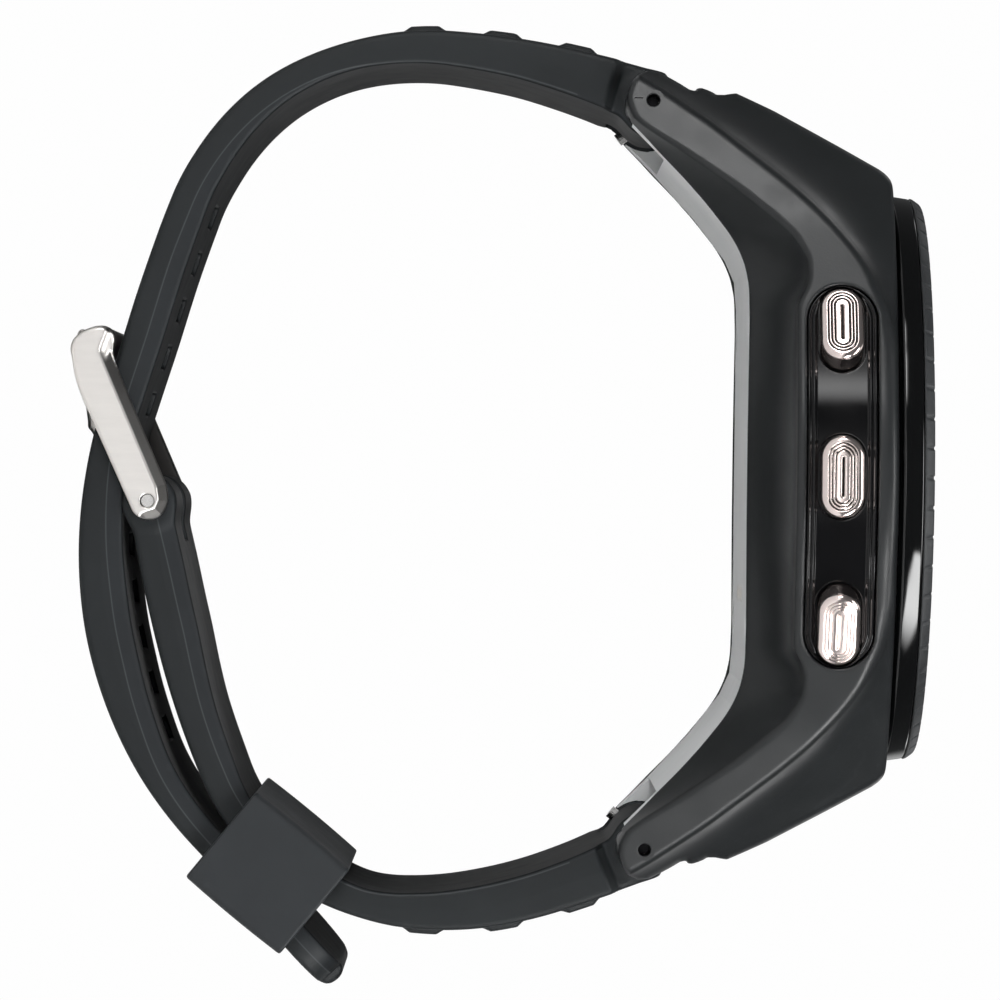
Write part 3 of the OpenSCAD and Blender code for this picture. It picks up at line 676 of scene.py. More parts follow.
# z where the shoulder meets the flank
SHOULDER_Z = table_curve([
    (0, 11.4), (10, 11.0), (13.4, 10.25), (16.1, 9.05), (17.7, 8.0), (19.5, 6.5), (21.5, 4.6),
    (23.4, 2.4), (25.6, -0.4), (27.8, -3.2), (31.0, -7.9), (31.6, -9.0), (34, -13)],
    smoothing=0.5)
# z of the underside at the flank
UNDER_FLANK_Z = table_curve([
    (0, 3.36), (13.5, 3.36), (14.6, 4.0), (15.5, 4.3), (17.2, 4.2), (18.9, 3.2), (20.5, 1.5),
    (22.6, -1.1), (24.5, -3.9), (25.8, -5.84), (27.2, -8.15), (28.1, -9.4), (31.0, -10.5),
    (34, -11.5)], smoothing=0.35)
# z of the underside at UNDER_INNER_X
UNDER_INNER_Z = table_curve([
    (0, -0.40), (13, -0.40), (15.1, -0.50), (16.7, -0.82), (18.15, -1.42), (19.4, -2.2),
    (21.6, -3.95), (23.6, -5.75), (25.4, -7.5), (27.0, -8.9), (27.8, -9.7), (34, -14)],
    smoothing=0.4)
# Exponent of the underside's fall from the flank inwards
UNDER_POWER = table_curve([(0, 2.3), (12, 2.3), (16, 1.5), (20, 1.0), (34, 1.0)], smoothing=0.8)
# Rounding between flank and shoulder, and at the top plane
SHOULDER_ROUND = table_curve([(0, 1.2), (9, 1.0), (13, 0.8), (16.5, 0.6), (40, 0.55)],
                             smoothing=0.6)
TOP_ROUND = table_curve([(0, 0.55), (12, 0.5), (18, 0.35), (40, 0.3)], smoothing=0.6)
UNDER_INNER_X = 14.0
SHOULDER_SLOPE, SHOULDER_BEND = 0.25, 0.15  # rise of the shoulder inwards from the flank

# Bar hole mouths: radius, offset out of the flank, share of the flank's normal
COLLAR_ROWS = [(0.50, -3.0, 0.0), (0.50, -0.08, 0.0), (0.535, -0.01, 0.6), (0.60, 0.012, 1.0),
               (0.84, 0.012, 1.0), (0.89, -0.06, 1.0)]


def add_collars(verts, quads, normals):
    """Round mouths and smooth walls of the four bar holes, lying flush in the lug facets."""
    segments = 48
    angle = np.arange(segments) * (2 * math.pi / segments)
    i = np.arange(segments)
    j = (i + 1) % segments
    all_verts, all_quads, all_normals, base = [verts], [quads], [normals], len(verts)
    for side_x in (1, -1):
        for side_y in (1, -1):
            ring_verts, ring_normals = [], []
            for radius, offset, face in COLLAR_ROWS:
                y, z = BAR_Y + radius * np.cos(angle), BAR_Z + radius * np.sin(angle)
                ring_verts.append(np.stack([side_x * (FLANK_X(y) + offset), side_y * y, z], 1))
                outward = np.stack([np.full(segments, float(side_x)),
                                    -FLANK_X.slope(y) * side_y, np.zeros(segments)], 1)
                inward = np.stack([np.zeros(segments), -side_y * np.cos(angle),
                                   -np.sin(angle)], 1)
                normal = face * outward + (1 - face) * inward
                ring_normals.append(normal / np.linalg.norm(normal, axis=1, keepdims=True))
            v, n = np.concatenate(ring_verts), np.concatenate(ring_normals)
            faces = np.concatenate([
                np.stack([k * segments + i, k * segments + j,
                          (k + 1) * segments + j, (k + 1) * segments + i], 1)
                for k in range(len(COLLAR_ROWS) - 1)])
            # Turn the faces outward, judged by one face of the flat ring
            a, b, c = faces[3 * segments, :3]
            if np.cross(v[b] - v[a], v[c] - v[a]) @ n[a] < 0:
                faces = faces[:, ::-1]
            all_verts.append(v)
            all_normals.append(n)
            all_quads.append(faces + base)
            base += len(v)
    return np.concatenate(all_verts), np.concatenate(all_quads), np.concatenate(all_normals)


def case_skin(abs_x, abs_y, z):
    """Flank, shoulder, underside and sloping end, before the side outline and the cuts."""
    flank_x, flank_slope = FLANK_X(abs_y), FLANK_X.slope(abs_y)
    inset = flank_x - abs_x
    flank = -inset / np.sqrt(1 + flank_slope * flank_slope)
    depth = np.maximum(inset, 0)
    pitch = SHOULDER_SLOPE + 2 * SHOULDER_BEND * depth
    above = z - (SHOULDER_Z(abs_y) + SHOULDER_SLOPE * inset + SHOULDER_BEND * depth * depth)
    end_slope = SHOULDER_Z.slope(abs_y) + pitch * flank_slope
    shoulder = above / np.sqrt(1 + pitch * pitch + end_slope**2)
    span = np.maximum(flank_x - UNDER_INNER_X, 0.8)
    share = np.clip(depth / span, 0, 1)
    power = UNDER_POWER(abs_y)
    flank_z = UNDER_FLANK_Z(abs_y)
    drop = flank_z - UNDER_INNER_Z(abs_y)
    under_z = flank_z - drop * share**power
    fall = drop * power * np.maximum(share, 1e-3) ** (power - 1) / span
    under = (under_z - z) / np.sqrt(1 + fall * fall + UNDER_FLANK_Z.slope(abs_y) ** 2 * 0.6)
    skin = soft_max(flank, shoulder, SHOULDER_ROUND(abs_y))
    skin = soft_max(skin, under, 0.45)
    return soft_max(skin, (z - 10.6 + 1.833 * (abs_y - 24.80)) / 2.088, 0.9)


def make_case():
    plate_map = polygon_map(PLATE_OUTLINE)
    end_map = polygon_map(cut_corners(END_OUTLINE, 1, sharp=(0, 1, 2)))
    barrel_room = 3.35  # clearance round the strap's barrel
    slot_outline = [[BAR_Y, BAR_Z - barrel_room], [40, BAR_Z - barrel_room],
                    [40, BAR_Z + barrel_room], [BAR_Y, BAR_Z + barrel_room]]
    under_outline = [[26.2, BAR_Z - 5], [40, BAR_Z - 5], [40, BAR_Z - 0.5], [26.3, BAR_Z - 0.5]]

    def lug_gap(a, b):
        barrel = np.hypot(a - BAR_Y, b - BAR_Z) - barrel_room
        slot = np.minimum(barrel, polygon_distance(a, b, slot_outline))
        return np.minimum(slot, polygon_distance(a, b, under_outline))

    gap_map = Map2D(lug_gap, (20, -20), (42, 6))

    def distance(x, y, z):
        abs_x, abs_y = np.abs(x), np.abs(y)
        r = soft_max(case_skin(abs_x, abs_y, z), end_map(abs_y, z), 0.5)
        wall = r + 0.95
        r = soft_max(r, z - CASE_TOP, TOP_ROUND(abs_y))
        # Seat of the back plate
        plate = np.maximum(np.maximum(plate_map(abs_y, z) - 1.42, abs_x - 14.04),
                           np.maximum(abs_y - 28.4, z - 1.6))
        r = soft_max(r, -plate, 0.42)
        # Between the lugs, and their bores
        r = soft_max(r, -np.maximum(gap_map(abs_y, z), abs_x - 10.3), 0.25)
        r = np.maximum(r, -(np.hypot(abs_y - BAR_Y, abs_z := z - BAR_Z) - 0.66))
        # Electronics bay round four screw posts, and the opening below it
        radius = np.hypot(x, y)
        post = np.hypot(abs_x - 11.8, abs_y - 11.8)
        bay = np.maximum(radius - 19.9, 2.4 - z)
        bay = np.maximum(np.maximum(bay, np.where(z < 9.4, 1.6 - post, -9.0)), wall)
        r = np.maximum(r, -bay)
        r = np.maximum(r, -np.maximum(radius - 12.5, np.maximum(0.5 - z, z - 4)))
        r = np.maximum(r, -np.maximum(post - 0.72, z - 7.5))
        # Side panel slot and the button stems' bores
        slot = np.maximum(stadium(y, z - SLOT_Z, SLOT_HALF, SLOT_RADIUS),
                          (FLANK_X(abs_y) - 1.45) - x)
        r = soft_max(r, -slot, 0.22)
        for cos, sin in BUTTON_DIRECTIONS:
            along, out = -x * sin + y * cos, x * cos + y * sin
            bore = np.maximum(np.hypot(along, z - BUTTON_Z) - 1.5, 17.5 - out)
            r = np.maximum(r, -bore)
        return r

    mesh = sculpt(distance, (-24.6, -33.4, -11.6), (24.6, 33.4, 12.2), 0.15, slack=1.35, settle=4)
    dress(add_mesh("case_shell", *add_collars(*mesh)), "case", "case", "case_body")


# ==== Button panel and buttons ====
def make_panel():
    """Glossy panel in the side slot, with a stepped face and three button openings."""

    def distance(x, y, z):
        abs_y = np.abs(y)
        flank_x, slope = FLANK_X(abs_y), FLANK_X.slope(abs_y)
        tilt = 1 / np.sqrt(1 + slope * slope)
        rim = stadium(y, z - SLOT_Z, SLOT_HALF, PANEL_RADIUS)
        ease = np.clip((-rim - 0.58) / 0.20, 0, 1)
        groove = 0.09 * np.exp(-(((rim + 0.34) / 0.09) ** 2))
        step = 0.15 * ease * ease * (3 - 2 * ease) + groove
        face = (x - (flank_x - 0.38 - step)) * tilt
        r = soft_max(soft_max(rim, face, 0.16), (flank_x - 1.35 - x) * tilt, 0.1)
        for cos, sin in BUTTON_DIRECTIONS:
            along = -x * sin + y * cos
            hole = stadium(along, z - BUTTON_Z, BUTTON_HALF, BUTTON_HEIGHT / 2 + 0.12)
            r = soft_max(r, -hole, 0.14)
        return r

    mesh = sculpt(distance, (16.0, -15.6, 3.6), (23.9, 15.6, 10.2), 0.082, soft=0.03)
    dress(add_mesh("button_panel_face", *mesh), "panel_gloss", "case", "button_panel")


def face_rings(rim, width):
    """Three rings parallel to the button's rim."""
    return sum(np.exp(-(((rim - c) / width) ** 2)) for c in (-0.60, -0.86, -1.12))


def face_middle(along, up):
    core = np.maximum(stadium(along, up, BUTTON_HALF - 0.05, 0.02), 0)
    return np.exp(-((core / 0.09) ** 2))


def make_buttons():
    """One button in its own space (along the case's rim, up, outward), placed three times."""

    def distance(along, up, out):
        rim = stadium(along, up, BUTTON_HALF, BUTTON_HEIGHT / 2)
        crown = BUTTON_REACH - 0.02 * (along / 3.2) ** 2 - 0.10 * (up / 1.7) ** 2
        face = out - (crown - 0.075 * face_rings(rim, 0.055) - 0.13 * face_middle(along, up))
        head = soft_max(soft_max(rim, face, 0.55), 22.75 - out, 0.2)
        groove = np.clip((0.22 - np.abs(out - 19.08)) * 8, 0, 1)
        stem = np.hypot(along, up) - (0.8 - 0.3 * groove)
        stem = soft_max(soft_max(stem, 18.15 - out, 0.2), out - 22.6, 0.2)
        return soft_min(head, stem, 0.1)

    verts, quads, normals = sculpt(distance, (-3.5, -2.0, 17.9), (3.5, 2.0, 25.3), 0.055,
                                   soft=0.015)
    along, up, out = verts.T
    # Painted shade in the face's rings and middle slot, kept in the groove attribute
    groove = face_rings(stadium(along, up, BUTTON_HALF, BUTTON_HEIGHT / 2), 0.062)
    groove = groove + face_middle(along, up)
    groove = np.clip(1.25 * groove, 0, 1) * (out > BUTTON_REACH - 0.5)

    # Name and strength of the painted shade in the grooves
    buttons = (("button_lower", 1.1), ("button_middle", 0.80), ("button_upper", 0.30))
    for (name, groove_shade_strength), (cos, sin) in zip(buttons, BUTTON_DIRECTIONS):

        def turn(p, lift):
            return np.stack([p[:, 2] * cos - p[:, 0] * sin, p[:, 2] * sin + p[:, 0] * cos,
                             p[:, 1] + lift], 1)

        obj = add_mesh(name + "_cap", turn(verts, BUTTON_Z), quads, turn(normals, 0))
        attribute = obj.data.attributes.new("groove", "FLOAT", "POINT")
        attribute.data.foreach_set("value", (groove * groove_shade_strength).astype(F32))
        dress(obj, "button_metal", name, name)


# ==== Bezel and lens; outlines are r, z ====
BEZEL_OUTLINE = [
    (17.8, 10.6), (19.4, 10.6), (19.4, CASE_TOP + 0.02), (22.4, CASE_TOP + 0.02),
    (22.5, CASE_TOP + 0.12), (22.62, CASE_TOP + 0.2), (22.86, CASE_TOP + 0.24),
    (22.96, CASE_TOP + 0.30), (23.0, CASE_TOP + 0.40), (23.0, 11.9), (22.97, 12.2),
    (22.84, 13.08), (22.81, 13.2), (22.74, 13.27), (22.6, 13.3), (19.6, 13.3), (19.6, 14.08),
    (19.1, 14.08), (19.1, 12.2), (17.8, 12.2)]
RING_OUTLINE = [
    (19.65, 13.3), (22.66, 13.3), (22.80, 13.34), (22.85, 13.42), (22.80, 13.56), (22.68, 13.74),
    (22.54, 13.94), (22.44, 14.06), (22.34, 14.13), (22.1, 14.15), (21.6, 14.15), (21.2, 14.15),
    (20.6, 14.15), (20.1, 14.15), (19.8, 14.15), (19.68, 14.11), (19.65, 14.02)]
LENS_OUTLINE = [
    (0, 12.5), (10, 12.5), (18.9, 12.5), (19.0, 12.6), (19.0, 13.74), (18.95, 13.84),
    (18.8, 13.97), (18.65, 14.04), (18.4, 14.05), (14, 14.05), (7, 14.05), (0, 14.05)]


def notch_ring(angle, r, z):
    """Sixty fine notches in the ring's outer edge."""
    turn = (angle * 60 / (2 * math.pi)) % 1.0
    turn = np.minimum(turn, 1 - turn)
    depth = np.clip((0.085 - turn) / 0.03, 0, 1)
    outer = ((r > 20.9) & (z > 13.45)).astype(float)
    return (r - 0.07 * depth * outer * (z < 14.1),
            z - 0.085 * depth * outer * (z > 13.8))


def make_head():
    dress(lathe("bezel_wall", BEZEL_OUTLINE, 256), "bezel", "case", "bezel")
    ring = lathe("bezel_ring_top", RING_OUTLINE, 1440, wave=notch_ring, sharp_angle=40)
    dress(ring, "bezel_ring", "case", "bezel_ring")
    dress(disc_lathe("lens_glass", LENS_OUTLINE, 256), "lens", "case", "lens")


# ==== Straps: straight band space (s along, x across, t outward) bent along a chain of arcs ====
class Chain:
    """Centre line in y and z from a start and heading, through arcs of (length, turn)."""

    def __init__(self, start, heading, arcs, outward):
        step = 0.05
        self.length = sum(a[0] for a in arcs)
        self.s = np.arange(-8, self.length + 8, step)
        edge = np.cumsum([0] + [a[0] for a in arcs])
        curvature = np.zeros_like(self.s)
        for i, (length, turn) in enumerate(arcs):
            on_arc = (self.s >= edge[i]) & (self.s < edge[i + 1])
            curvature[on_arc] = math.radians(turn) / length
        origin = int(np.searchsorted(self.s, 0))
        heading = math.radians(heading)
        h = heading + np.concatenate([[0], np.cumsum(curvature[:-1] * step)])
        h -= h[origin] - heading
        middle = (h[1:] + h[:-1]) / 2
        y = np.concatenate([[0], np.cumsum(np.cos(middle) * step)])
        z = np.concatenate([[0], np.cumsum(np.sin(middle) * step)])
        self.y, self.z = y - y[origin] + start[0], z - z[origin] + start[1]
        self.heading, self.outward = h, outward

    def __call__(self, s, t):
        angle = np.interp(s, self.s, self.heading) + self.outward
        return (np.interp(s, self.s, self.y) + t * np.cos(angle),
                np.interp(s, self.s, self.z) + t * np.sin(angle))

    def bend(self, verts):
        y, z = self(verts[:, 0], verts[:, 2])
        return np.stack([verts[:, 1], y, z], 1)

    def bend_normal(self, verts, normals):
        heading = np.interp(verts[:, 0], self.s, self.heading)
        out = heading + self.outward
        curvature = np.interp(verts[:, 0], self.s, np.gradient(self.heading, self.s))
        stretch = 1 - np.sin(self.outward) * verts[:, 2] * curvature
        squeeze = 1 / np.maximum(stretch, 0.3)
        a, b, c = normals[:, 0] * squeeze, normals[:, 1], normals[:, 2]
        bent = np.stack([b, a * np.cos(heading) + c * np.cos(out),
                         a * np.sin(heading) + c * np.sin(out)], 1)
        return bent / np.linalg.norm(bent, axis=1)[:, None]


# Arcs: length in mm, turn in degrees
LONG = Chain((-BAR_Y, BAR_Z), -107.9,
             [[16.6, 13.5], [12.9, 32.1], [12.3, 42.2], [17.9, 3.1], [16, 26], [19.9, 33.5],
              [14.9, 0]], outward=-math.pi / 2)
SHORT = Chain((BAR_Y, BAR_Z), -65.5,
              [[8.1, -5.9], [11.8, -20.6], [18.5, -64.2], [11.3, -9.2], [11.5, -5.5]],
              outward=math.pi / 2)


def strap_curve(rows, high):
    return table_curve(rows, smoothing=1.0, low=-8, high=high, even=False)


# Rows of s and a depth: outer and inner face from the centre line, parting line from inner face
LONG_OUTER = strap_curve([
    (0, 2.75), (5, 2.62), (11, 2.58), (17, 2.48), (20, 2.4), (23, 2.26), (29, 2.08), (35, 1.74),
    (38, 1.62), (44, 1.75), (50, 1.68), (56, 1.48), (65, 1.4), (77, 1.5), (89, 1.42), (97, 1.2),
    (112, 1.12)], 122)
LONG_INNER = strap_curve([
    (0, 1.9), (5, 1.28), (8, 0.96), (11, 0.62), (17, 0.28), (23, 0.1), (26, 0.12), (29, 0.34),
    (32, 0.7), (35, 1.04), (38, 1.3), (47, 1.38), (53, 1.6), (62, 1.6), (68, 2.0), (74, 2.3),
    (80, 2.25), (85, 1.85), (89, 1.35), (92, 1.2), (112, 1.15)], 122)
LONG_PARTING = strap_curve([
    (0, 0.35), (5, 0.25), (22, 0.12), (30, 0.5), (38, 1.1), (46, 1.38), (96, 1.25),
    (112, 1.1)], 122)
SHORT_OUTER = strap_curve([
    (0, 2.75), (5, 2.55), (14, 2.42), (17, 2.28), (20, 2.05), (23, 1.72), (26, 1.6), (36, 1.55),
    (62, 1.65)], 74)
SHORT_INNER = strap_curve([
    (0, 1.7), (5, 1.3), (11, 1.12), (14, 1.0), (17, 0.82), (23, 0.6), (26, 1.0), (29, 1.2),
    (36, 1.2), (39, 1.42), (44, 1.55), (50, 1.95), (56, 1.95), (62, 1.65)], 74)
SHORT_PARTING = strap_curve([
    (0, 0.4), (5, 0.3), (20, 0.15), (26, 0.3), (40, 1.1), (62, 1.3)], 74)

# Windows cut through the bar end on the -X side: s, t
LONG_WINDOW = [[-0.95, 0.31], [-2.18, -3.5], [3.53, -5.3], [3.05, -0.98]]
SHORT_WINDOW = [[-0.91, 0.41], [2.91, -1.33], [2.89, -5.71], [-2.57, -3.23]]


def plain_band(s, x, t, half_t, tail):
    """Drafted side walls, rounded edges, shoulders by the lugs and a narrowed tail, if any."""
    ease = np.clip((s - 2.9) / 0.9, 0, 1)
    half_width = 10.0 + 1.2 * ease**2 * (3 - 2 * ease)
    if tail:
        end = np.clip((s - (tail - 3.4)) / 3.4, 0, 1)
        half_width = half_width - 3.4 * (1 - np.sqrt(1 - 0.98 * end * end))
    side = (np.abs(x) - (half_width - 0.06 * np.abs(t))) * 0.998
    return soft_max(soft_max(side, t - half_t, 0.55), -t - half_t, 0.40)


def cross_ribs(s, x, t, half_t, first, pitch):
    """Three raised ribs across the outer face."""
    r = np.full(s.shape, 9.0)
    for i in range(3):
        offset = np.abs(s - (first + i * pitch))
        rib = np.maximum((offset - 1.0 - (half_t + 0.55 - t) * 1.45) * 0.57, t - half_t - 0.55)
        r = np.minimum(r, soft_max(rib, np.abs(x) - 8.5, 0.5))
    return np.maximum(r, 0.6 - t)


def strap_body(s, x, t, outer, inner, end, end_round, first_rib, rib_pitch, tail=None):
    """Band, ribs and the barrel round the spring bar; end is where the band is cut off."""
    outer_t, inner_t = outer(s), inner(s)
    half_t = (outer_t + inner_t) / 2
    mid_t = t - (outer_t - inner_t) / 2
    r = plain_band(s, x, mid_t, half_t, tail)
    r = soft_max(soft_max(r, -s - 0.2, 0.3), s - end, end_round)
    ribs = cross_ribs(s, x, mid_t, half_t, first_rib, rib_pitch)
    r = soft_min(r, soft_max(ribs, -s, 0.1), 0.35)
    barrel = soft_max(np.hypot(s, t) - 2.55, np.abs(x) - 10.0, 0.5)
    return soft_min(r, barrel, 0.6)


def cut_window(r, s, x, t, window):
    return soft_max(r, -np.maximum(polygon_distance(s, t, window), np.abs(x + 7.1) - 2.3), 0.2)


def add_strap(name, chain, verts, quads, normals, inner, parting):
    obj = add_mesh(name + "_band", chain.bend(verts), quads, chain.bend_normal(verts, normals))
    s, x, t = verts.T
    band = np.stack([t + inner(s) - parting(s), np.abs(x), s], 1)
    attribute = obj.data.attributes.new("band", "FLOAT_VECTOR", "POINT")
    attribute.data.foreach_set("vector", band.astype(F32).ravel())
    dress(obj, "strap", name, name)


def make_strap_long():
    length = LONG.length
    start, end = np.array(PRONG_PATH[2]), np.array(PRONG_PATH[3])
    run = (end - start) / np.linalg.norm(end - start)

    def beside_prong(point, across, before):
        return [PIN_Y + point[0] - across * run[1] - before * run[0],
                PIN_Z + point[1] + across * run[0] - before * run[1]]

    # Channel the prong passes through
    channel = polygon_map([beside_prong(start, -0.85, 1.1), beside_prong(end, -0.85, -1.0),
                           beside_prong(end, 0.85, -1.0), beside_prong(start, 0.85, 1.1)], 0.05, 3)
    # Evenly pitched holes; the sixth place is the prong's channel
    holes = np.array([41.9 + 4.05 * i for i in range(12) if i != 5], F32)

    def distance(s, x, t):
        r = strap_body(s, x, t, LONG_OUTER, LONG_INNER, end=length + 0.8, end_round=1.2,
                       first_rib=6.8, rib_pitch=5.9, tail=length)
        r = np.maximum(r, -(np.hypot(s, t) - BAR_HOLE))
        r = cut_window(r, s, x, t, LONG_WINDOW)
        nearest = np.argmin(np.abs(s[None] - holes[:, None]), 0)
        r = soft_max(r, -rounded_box(s - holes[nearest], x, 0.95, 2.8, 0.45), 0.3)
        near = np.abs(s - 62.15) < 6
        if near.any():
            cut = np.maximum(channel(*LONG(s, t)), np.abs(x) - 1.5)
            r = np.where(near, soft_max(r, -cut, 0.2), r)
        return r

    mesh = sculpt(distance, (-3.6, -11.8, -3.5), (length + 1.7, 11.8, 3.5), 0.24, slack=1.4,
                  settle=2)
    add_strap("strap_long", LONG, *mesh, LONG_INNER, LONG_PARTING)


def make_strap_short():
    length = SHORT.length

    def distance(s, x, t):
        r = strap_body(s, x, t, SHORT_OUTER, SHORT_INNER, end=length, end_round=0.3,
                       first_rib=6.35, rib_pitch=6.0)
        # Eye round the buckle pin, slotted for the prong
        eye = soft_max(np.hypot(s - length, t) - 2.2, np.abs(x) - 11.15, 0.6)
        r = soft_min(r, eye, 0.8)
        r = np.maximum(r, -(np.hypot(s, t) - BAR_HOLE))
        r = np.maximum(r, -(np.hypot(s - length, t) - BAR_HOLE))
        r = cut_window(r, s, x, t, SHORT_WINDOW)
        return soft_max(r, -np.maximum(np.abs(x) - 2.2, length - 3.4 - s), 0.35)

    verts, quads, normals = sculpt(distance, (-3.6, -11.8, -3.5), (length + 3.0, 11.8, 3.5), 0.24,
                                   slack=1.4, settle=2)
    # This chain's outward side mirrors the band, so its faces are turned round
    add_strap("strap_short", SHORT, verts, quads[:, ::-1], normals, SHORT_INNER, SHORT_PARTING)


def make_keeper():
    """Rectangular loop round both straps, tilted about X."""
    centre_y, centre_z = 32.02, -37.79
    cos, sin = math.cos(math.radians(51.06)), math.sin(math.radians(51.06))
    half_length = 4.85  # along the strap

    def distance(along, x, out):
        abs_x = np.abs(x)
        swell = 0.10 * (1 - (along / half_length) ** 2)
        r = soft_max(np.abs(out) - 4.40 - swell, abs_x - 12.6, 0.85)
        r = soft_max(r, np.abs(along) - half_length, 0.22)
        hole = soft_max(np.abs(out - 0.065) - 3.815, abs_x - 11.65, 0.7)
        return soft_max(r, -hole, 0.24)

    def turn(p, y, z):
        return np.stack([p[:, 1], p[:, 0] * cos + p[:, 2] * sin + y,
                         p[:, 0] * sin - p[:, 2] * cos + z], 1)

    verts, quads, normals = sculpt(distance, (-5.4, -13.2, -5.2), (5.4, 13.2, 5.2), 0.17,
                                   soft=0.04)
    obj = add_mesh("keeper_loop", turn(verts, centre_y, centre_z), quads, turn(normals, 0, 0))
    dress(obj, "keeper", "keeper", "keeper")


# ==== Buckle: outlines are y, z ====
HOOP_FOOT = [[-9.9, -53.95], [-10.9, -53], [-11.4, -51.3]]
ARM_UPPER = [[-9.4, -50.85], [0.3, -46.6], [1.2, -46.2], [2.49, -46.0], [3.7, -46.5],
             [4.1, -47.6]]
ARM_OUTLINE = HOOP_FOOT + [[-10.6, -50.75]] + ARM_UPPER + [
    [3.7, -48.7], [2.6, -49.2], [-2.9, -51.7], [-6.7, -53.5]]
BAR_OUTLINE = HOOP_FOOT + [[-10.9, -50.35], [-9.7, -50.45], [-8.7, -51.2], [-8.6, -52.4],
                           [-8.9, -53.75]]
PRONG_LINE = np.array(PRONG_PATH) + [PIN_Y, PIN_Z]


def beside_line(i, offset):
    """Point beside corner i of the prong's line, mitred."""
    sides = []
    for k in (i, min(i + 1, len(PRONG_LINE) - 1)):
        run = PRONG_LINE[k] - PRONG_LINE[k - 1]
        run = run / np.linalg.norm(run)
        sides.append(np.array([-run[1], run[0]]))
    return PRONG_LINE[i] + offset * ((sides[0] + sides[1]) / (1 + sides[0] @ sides[1]))


def make_hoop():
    """Two arms and the crossbar, bevelled along the arms' upper edge and notched for the prong."""
    arm_map = polygon_map(cut_corners(ARM_OUTLINE, 3), 0.04, 3)
    bar_map = polygon_map(cut_corners(BAR_OUTLINE, 3), 0.04, 3)
    beyond = [-4, -0.54]  # carries the notch on past the prong's tip
    notch_map = polygon_map([beside_line(4, -0.5), beside_line(5, -0.5) + beyond,
                             beside_line(5, 4) + beyond, beside_line(4, 4)], 0.04, 2)
    lip = [[-10.9, -50.3]] + ARM_UPPER
    lip_map = Map2D(lambda y, z: np.minimum.reduce(segment_distances(y, z, lip)),
                    (-14, -57), (7, -43), 0.05)

    def distance(x, y, z):
        abs_x = np.abs(x)
        arm = soft_max(arm_map(y, z), np.abs(abs_x - 12.25) - 0.75, 0.30)
        arm = soft_max(arm, 0.62 * (abs_x - 13.0) + 0.78 * (0.80 - lip_map(y, z)), 0.12)
        bar = soft_max(bar_map(y, z), abs_x - 12.5, 0.4)
        r = soft_min(arm, bar, 0.5)
        r = soft_max(r, -(np.hypot(y - PIN_Y, z - PIN_Z) - 0.56), 0.12)
        return soft_max(r, -soft_max(notch_map(y, z), abs_x - 1.25, 0.3), 0.25)

    mesh = sculpt(distance, (-13.6, -12.0, -54.6), (13.6, 4.8, -45.4), 0.13, settle=2, soft=0.04)
    dress(add_mesh("buckle_hoop", *mesh), "buckle_metal", "buckle_frame", "buckle_frame")


def make_prong():
    """Rounded bar swept along the prong's line, with an eye round the pin."""

    def line_distance(y, z):
        parts = segment_distances(y, z, PRONG_LINE)
        return functools.reduce(lambda a, b: soft_min(a, b, 0.15), parts) - 0.43

    line_map = Map2D(line_distance, (-13.5, -56), (5.5, -44), 0.04)

    def distance(x, y, z):
        abs_x = np.abs(x)
        tip = np.clip((-9.0 - y) / 2.2, 0, 1)
        body = soft_max(line_map(y, z), abs_x - (1.05 - 0.35 * tip * tip), 0.35)
        from_pin = np.hypot(y - PIN_Y, z - PIN_Z)
        eye = soft_max(from_pin - 1.7, abs_x - 1.9, 0.35)
        return np.maximum(soft_min(body, eye, 0.35), -(from_pin - BAR_HOLE))

    mesh = sculpt(distance, (-2.4, -12.2, -55.0), (2.4, 5.0, -45.2), 0.10, settle=2, soft=0.03)
    dress(add_mesh("buckle_prong", *mesh), "buckle_metal", "buckle_tongue", "buckle_tongue")


# ==== CAD pieces that keep their shape ====
CAD_SLOTS = {
    "lens_gasket": "seal", "display_panel": "display", "light_guide": "light_guide",
    "display_frame": "inner_frame", "main_board": "board", "board_chips": "chips",
    "shield_can": "tinplate", "gps_antenna": "copper_strip", "battery": "battery_wrap",
    "vibration_motor": "steel_small", "buzzer": "buzzer_shell", "tact_switches": "tinplate",
    "back_plate": "back_plate", "back_gasket": "seal", "back_screws": "steel_small",
    "charge_contacts": "contact_gold", "button_seals": "seal"}


def cad_slot(name):
    if name in CAD_SLOTS:
        return CAD_SLOTS[name]
    if "spring" in name:
        return "spring_steel"
    return "bar_steel" if "bar" in name or "pin" in name else "steel_small"


def finish_cad():
    for name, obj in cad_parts.items():
        if obj.hide_render:
            continue
        material = MATERIALS[cad_slot(name)]
        if not obj.data.materials:
            obj.data.materials.append(material)
        for slot in obj.material_slots:
            slot.material = material


# ==== Stage, in metres ====
def floor_material():
    """Pale floor that fades out at grazing view angles and is clear from below."""
    shader = Shader("floor_pale")
    tone = shader.mix(shader.noise(9), (0.80, 0.80, 0.80), (0.84, 0.84, 0.84))
    shader.set(Base_Color=tone, Roughness=0.6, Specular_IOR_Level=0.2)
    geometry = shader.new("ShaderNodeNewGeometry")
    weight = shader.new("ShaderNodeLayerWeight")
    weight.inputs["Blend"].default_value = 0.5
    light_path = shader.new("ShaderNodeLightPath")
    haze = shader.new("ShaderNodeBsdfTransparent")
    graze = shader.ramp(weight.outputs["Facing"], [(0.55, 0.0), (0.86, 1.0)])
    seen_graze = shader.math("MULTIPLY", graze, light_path.outputs["Is Camera Ray"])
    faded = shader.mix_shader(seen_graze, shader.bsdf.outputs[0], haze.outputs[0])
    clear = shader.new("ShaderNodeBsdfTransparent")
    surface = shader.mix_shader(geometry.outputs["Backfacing"], faded, clear.outputs[0])
    shader.link(surface, shader.output.inputs[0])
    return shader.material


